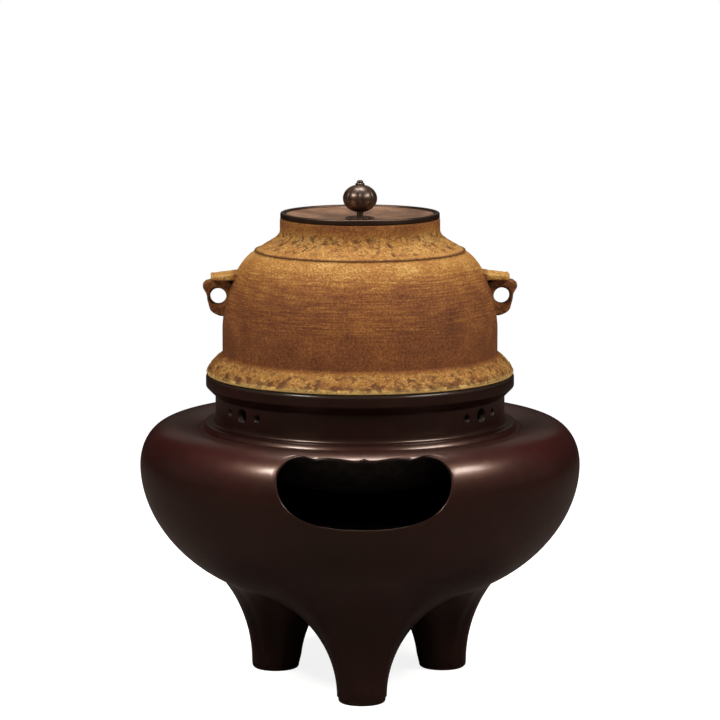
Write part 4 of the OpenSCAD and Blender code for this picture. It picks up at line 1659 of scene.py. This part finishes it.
    def ball_tree(self, finish: Material) -> Tree:
        """Node tree that presses lobes into a flattened ball.

        Args:
            finish: Material of the ball.

        Returns:
            The tree, with inputs for the radius, half height, place, number of lobes and depth of groove.
        """
        tree = new_tree("lobed_ball", {
            "Radius": self.ball_r * MM,
            "Half height": self.ball_half * MM,
            "Middle": self.ball_z * MM,
            "Lobes": float(self.lobes),
            "Groove": self.groove,
        })
        given = add(tree, "NodeGroupInput").outputs
        ball = add(tree, "GeometryNodeMeshUVSphere", {"Segments": 180, "Rings": 56, "Radius": 1.0})
        spot = add(tree, "GeometryNodeInputPosition")
        x, y, z = add(tree, "ShaderNodeSeparateXYZ", {"Vector": spot.outputs["Position"]}).outputs
        wave = calc(tree, "MULTIPLY", calc(tree, "ARCTAN2", y, x), given["Lobes"])
        wave = calc(tree, "SINE", calc(tree, "MULTIPLY", wave, 0.5))
        wave = calc(tree, "SUBTRACT", 1.0, calc(tree, "ABSOLUTE", wave))
        wave = calc(tree, "MULTIPLY", calc(tree, "POWER", wave, 3.0), given["Groove"])
        pole = calc(tree, "SUBTRACT", 1.0, calc(tree, "MULTIPLY", z, z))
        wave = calc(tree, "SUBTRACT", 1.0, calc(tree, "MULTIPLY", wave, pole))
        wide = calc(tree, "MULTIPLY", wave, given["Radius"])
        place = add(tree, "ShaderNodeCombineXYZ", {
            "X": calc(tree, "MULTIPLY", x, wide),
            "Y": calc(tree, "MULTIPLY", y, wide),
            "Z": calc(tree, "MULTIPLY_ADD", z, given["Half height"], given["Middle"]),
        }).outputs["Vector"]
        pressed = add(tree, "GeometryNodeSetPosition", {"Geometry": ball.outputs["Mesh"], "Position": place})
        return end_tree(tree, pressed.outputs["Geometry"], finish)


def new_tree(name: str, inputs: dict[str, float]) -> Tree:
    """Start a geometry tree with named number inputs and a geometry output.

    Args:
        name: Name of the tree.
        inputs: Name and default of each input; whole numbers make integer sockets.

    Returns:
        The tree.
    """
    tree = bpy.data.node_groups.new(name, "GeometryNodeTree")
    tree.interface.new_socket("Geometry", in_out="OUTPUT", socket_type="NodeSocketGeometry")
    for label, value in inputs.items():
        kind = "NodeSocketInt" if isinstance(value, int) else "NodeSocketFloat"
        tree.interface.new_socket(label, in_out="INPUT", socket_type=kind).default_value = value
    return tree


def end_tree(tree: Tree, shape: Socket, finish: Material) -> Tree:
    """Close a geometry tree with Realize Instances, smooth shading and Set Material."""
    real = add(tree, "GeometryNodeRealizeInstances", {"Geometry": shape})
    smooth = add(tree, "GeometryNodeSetShadeSmooth", {"Geometry": real.outputs["Geometry"]})
    dress = add(tree, "GeometryNodeSetMaterial", {"Geometry": smooth.outputs["Geometry"], "Material": finish})
    add(tree, "NodeGroupOutput", {"Geometry": dress.outputs["Geometry"]})
    return tree


def grow(name: str, tree: Tree, values: dict[str, float]) -> Piece:
    """Run a geometry tree and keep its result as a plain mesh.

    Args:
        name: Name of the piece.
        tree: The geometry tree.
        values: Values of the tree's inputs by name.

    Returns:
        The piece.
    """
    piece = bpy.data.objects.new(name, bpy.data.meshes.new(name))
    bpy.context.scene.collection.objects.link(piece)
    modifier = piece.modifiers.new("grow", "NODES")
    modifier.node_group = tree
    inputs = [item for item in tree.interface.items_tree if getattr(item, "in_out", "") == "INPUT"]
    keys = {item.name: item.identifier for item in inputs}
    for label, value in values.items():
        modifier[keys[label]] = value
    mesh = bpy.data.meshes.new_from_object(piece.evaluated_get(bpy.context.evaluated_depsgraph_get()))
    piece.modifiers.clear()
    piece.data = mesh
    mesh.set_sharp_from_angle(angle=math.radians(50))
    return piece


# The studio


@dataclass(frozen=True)
class SoftBox:
    """One rectangular lamp: where it hangs, its two sides in metres and its power in watts."""

    name: str
    place: Triple
    size: Pair
    watts: float


@dataclass
class Studio:
    """Pale floor, white surround, four soft boxes and the camera at the photograph's angle."""

    distance: float = 2.48605
    height: float = 0.60577
    pitch: float = 0.145
    turn: float = math.radians(1.1)
    focal_px: float = 3364.97
    frame_px: float = 720.0
    sensor_mm: float = 36.0
    clip_end: float = 200.0
    floor_half: float = 30.0
    paper: str = "#e6e4e1"
    paper_in_gloss: str = "#4a4442"
    near: Pair = (0.35, 1.5)
    near_share: float = 0.5
    near_glow: float = 1.72
    room_low: float = 0.18
    room_high: float = 0.12
    room_behind: float = 0.1
    lamp_tint: Triple = (1.0, 0.96, 0.9)
    lamp_aim: Triple = (0.0, 0.0, 0.2)
    lamps: tuple[SoftBox, ...] = (
        SoftBox("soft_box_left", (-0.98, -0.77, 1.33), (0.4, 0.3), 33.0),
        SoftBox("soft_box_right", (1.05, -0.68, 1.23), (0.75, 0.3), 34.0),
        SoftBox("soft_box_back", (0.0, 1.7, 1.15), (1.8, 0.9), 0.9),
        SoftBox("soft_box_top", (0.0, 0.2, 1.5), (0.6, 0.4), 23.0),
    )

    def camera(self) -> None:
        """Place the camera."""
        data = bpy.data.cameras.new("camera")
        data.sensor_width = self.sensor_mm
        data.lens = self.focal_px / self.frame_px * self.sensor_mm
        data.clip_end = self.clip_end
        eye = bpy.data.objects.new("camera", data)
        across, back = self.distance * math.sin(self.turn), self.distance * math.cos(self.turn)
        eye.location = (-across, -back, self.height)
        eye.rotation_euler = (math.pi / 2 - self.pitch, 0.0, -self.turn)
        bpy.context.scene.collection.objects.link(eye)
        bpy.context.scene.camera = eye

    @staticmethod
    def straight_view(tree: Tree, seen: Node) -> Socket:
        """1 for rays that come from the camera, also through clear pieces."""
        return calc(tree, "MAXIMUM", seen.outputs["Is Camera Ray"], seen.outputs["Is Transmission Ray"])

    def floor(self) -> None:
        """Lay a pale floor that looks white and keeps the object's shadow."""
        h = self.floor_half
        mesh = bpy.data.meshes.new("floor")
        mesh.from_pydata([(-h, -h, 0), (h, -h, 0), (h, h, 0), (-h, h, 0)], [], [(0, 1, 2, 3)])
        material = bpy.data.materials.new("paper_white_floor")
        material.use_nodes = True
        tree = material.node_tree
        tree.nodes.clear()
        seen = add(tree, "ShaderNodeLightPath")
        # Reflected a shade deeper, so that the dark bronze keeps its depth
        gloss = seen.outputs["Is Glossy Ray"]
        shade = mix(tree, gloss, hex_colour(self.paper), hex_colour(self.paper_in_gloss))
        paper = add(tree, "ShaderNodeBsdfDiffuse", {"Color": shade})
        away = distance(tree, add(tree, "ShaderNodeTexCoord").outputs["Object"])
        strength = span(tree, away, self.near, (self.near_glow, 1.0))
        glow = add(tree, "ShaderNodeEmission", {"Color": (1, 1, 1, 1), "Strength": strength})
        far = span(tree, away, self.near, (self.near_share, 1.0))
        share = calc(tree, "MULTIPLY", self.straight_view(tree, seen), far)
        both = add(tree, "ShaderNodeMixShader", {0: share, 1: paper.outputs[0], 2: glow.outputs[0]})
        add(tree, "ShaderNodeOutputMaterial", {"Surface": both.outputs[0]})
        mesh.materials.append(material)
        sheet = bpy.data.objects.new("floor", mesh)
        bpy.context.scene.collection.objects.link(sheet)

    def surround(self) -> None:
        """White to the camera; for light and gloss a dim room, brighter low down, dark behind the object."""
        world = bpy.data.worlds.new("studio")
        bpy.context.scene.world = world
        world.use_nodes = True
        tree = world.node_tree
        tree.nodes.clear()
        view = add(tree, "ShaderNodeTexCoord").outputs["Generated"]
        way = add(tree, "ShaderNodeSeparateXYZ", {"Vector": view})
        dim = span(tree, way.outputs["Z"], (0.0, 0.4), (self.room_low, self.room_high))
        behind = span(tree, way.outputs["Y"], (0.2, 0.7), (1.0, self.room_behind))
        dim = calc(tree, "MULTIPLY", dim, behind)
        room = add(tree, "ShaderNodeBackground", {"Color": (1, 1, 1, 1), "Strength": dim})
        white = add(tree, "ShaderNodeBackground", {"Color": (1, 1, 1, 1), "Strength": 1.0})
        share = self.straight_view(tree, add(tree, "ShaderNodeLightPath"))
        both = add(tree, "ShaderNodeMixShader", {0: share, 1: room.outputs[0], 2: white.outputs[0]})
        add(tree, "ShaderNodeOutputWorld", {"Surface": both.outputs[0]})

    def hang(self, lamp: SoftBox) -> None:
        """Hang one soft box aimed at the middle of the object."""
        data = bpy.data.lights.new(lamp.name, "AREA")
        data.shape = "RECTANGLE"
        data.size, data.size_y = lamp.size
        data.energy = lamp.watts
        data.color = self.lamp_tint
        box = bpy.data.objects.new(lamp.name, data)
        box.location = lamp.place
        box.rotation_euler = (Vector(self.lamp_aim) - Vector(lamp.place)).to_track_quat("-Z", "Y").to_euler()
        bpy.context.scene.collection.objects.link(box)

    def build(self) -> None:
        """Set up camera, floor, surround, lamps and plain colour."""
        bpy.context.scene.view_settings.view_transform = "Standard"
        self.camera()
        self.floor()
        self.surround()
        for lamp in self.lamps:
            self.hang(lamp)


def main() -> None:
    """Load the frame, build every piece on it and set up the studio."""
    logging.basicConfig(level=logging.INFO, format="%(name)s %(message)s")
    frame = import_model()

    bronze, soot = PatinatedBronze().material(), SootedMetal().material()
    iron, scale = RustedIron().material(), ScaledIron().material()
    burnt = SootedMetal(name="iron_cast_sooted").material()
    lid_finish, knob_finish = LidBronze().material(), KnobBronze().material()

    bowl = BrazierBowl()
    settle(bowl.build(bronze, soot), "brazier", "furo_bronze", "furo_bowl")
    for place in LegPlace:
        settle(BrazierLeg(place, bowl).build(bronze), "brazier", "furo_bronze", place.value[0])

    bed = FireBed(bowl)
    settle(bed.ash(WoodAsh().material()), "brazier", "ash", "ash_bed")
    for spot in StickPlace:
        settle(bed.stick(spot, OakCharcoal().material()), "brazier", "charcoal", spot.value[0])

    kettle = IronKettle()
    settle(kettle.build(iron, scale, burnt), "kettle", "kettle_iron", "kettle_body")
    for side in LugSide:
        settle(kettle.lug(side, iron), "kettle", "kettle_iron", side.value[0])

    lid = BronzeLid()
    settle(lid.plate(lid_finish), "lid", "lid_bronze", "lid_plate")
    settle(lid.pin(knob_finish), "lid", "lid_bronze", "knob_pin")
    seat = grow("knob_seat_petals", lid.petal_tree(knob_finish), {"Petals": lid.petals})
    settle(seat, "lid", "lid_bronze", "knob_seat")
    ball = grow("knob_ball_lobed", lid.ball_tree(knob_finish), {"Lobes": float(lid.lobes)})
    settle(ball, "lid", "lid_bronze", "knob_ball")

    kept = {"bottom_tile": FiredClay(), "sounding_plates": ScaledIron(), "pin_washer": KnobBronze()}
    for node, finish in kept.items():
        frame["nodes"][node].data.materials.clear()
        frame["nodes"][node].data.materials.append(finish.material())
        LOG.info("%s keeps its CAD shape", node)

    Studio().build()


if __name__ == "__main__":
    main()
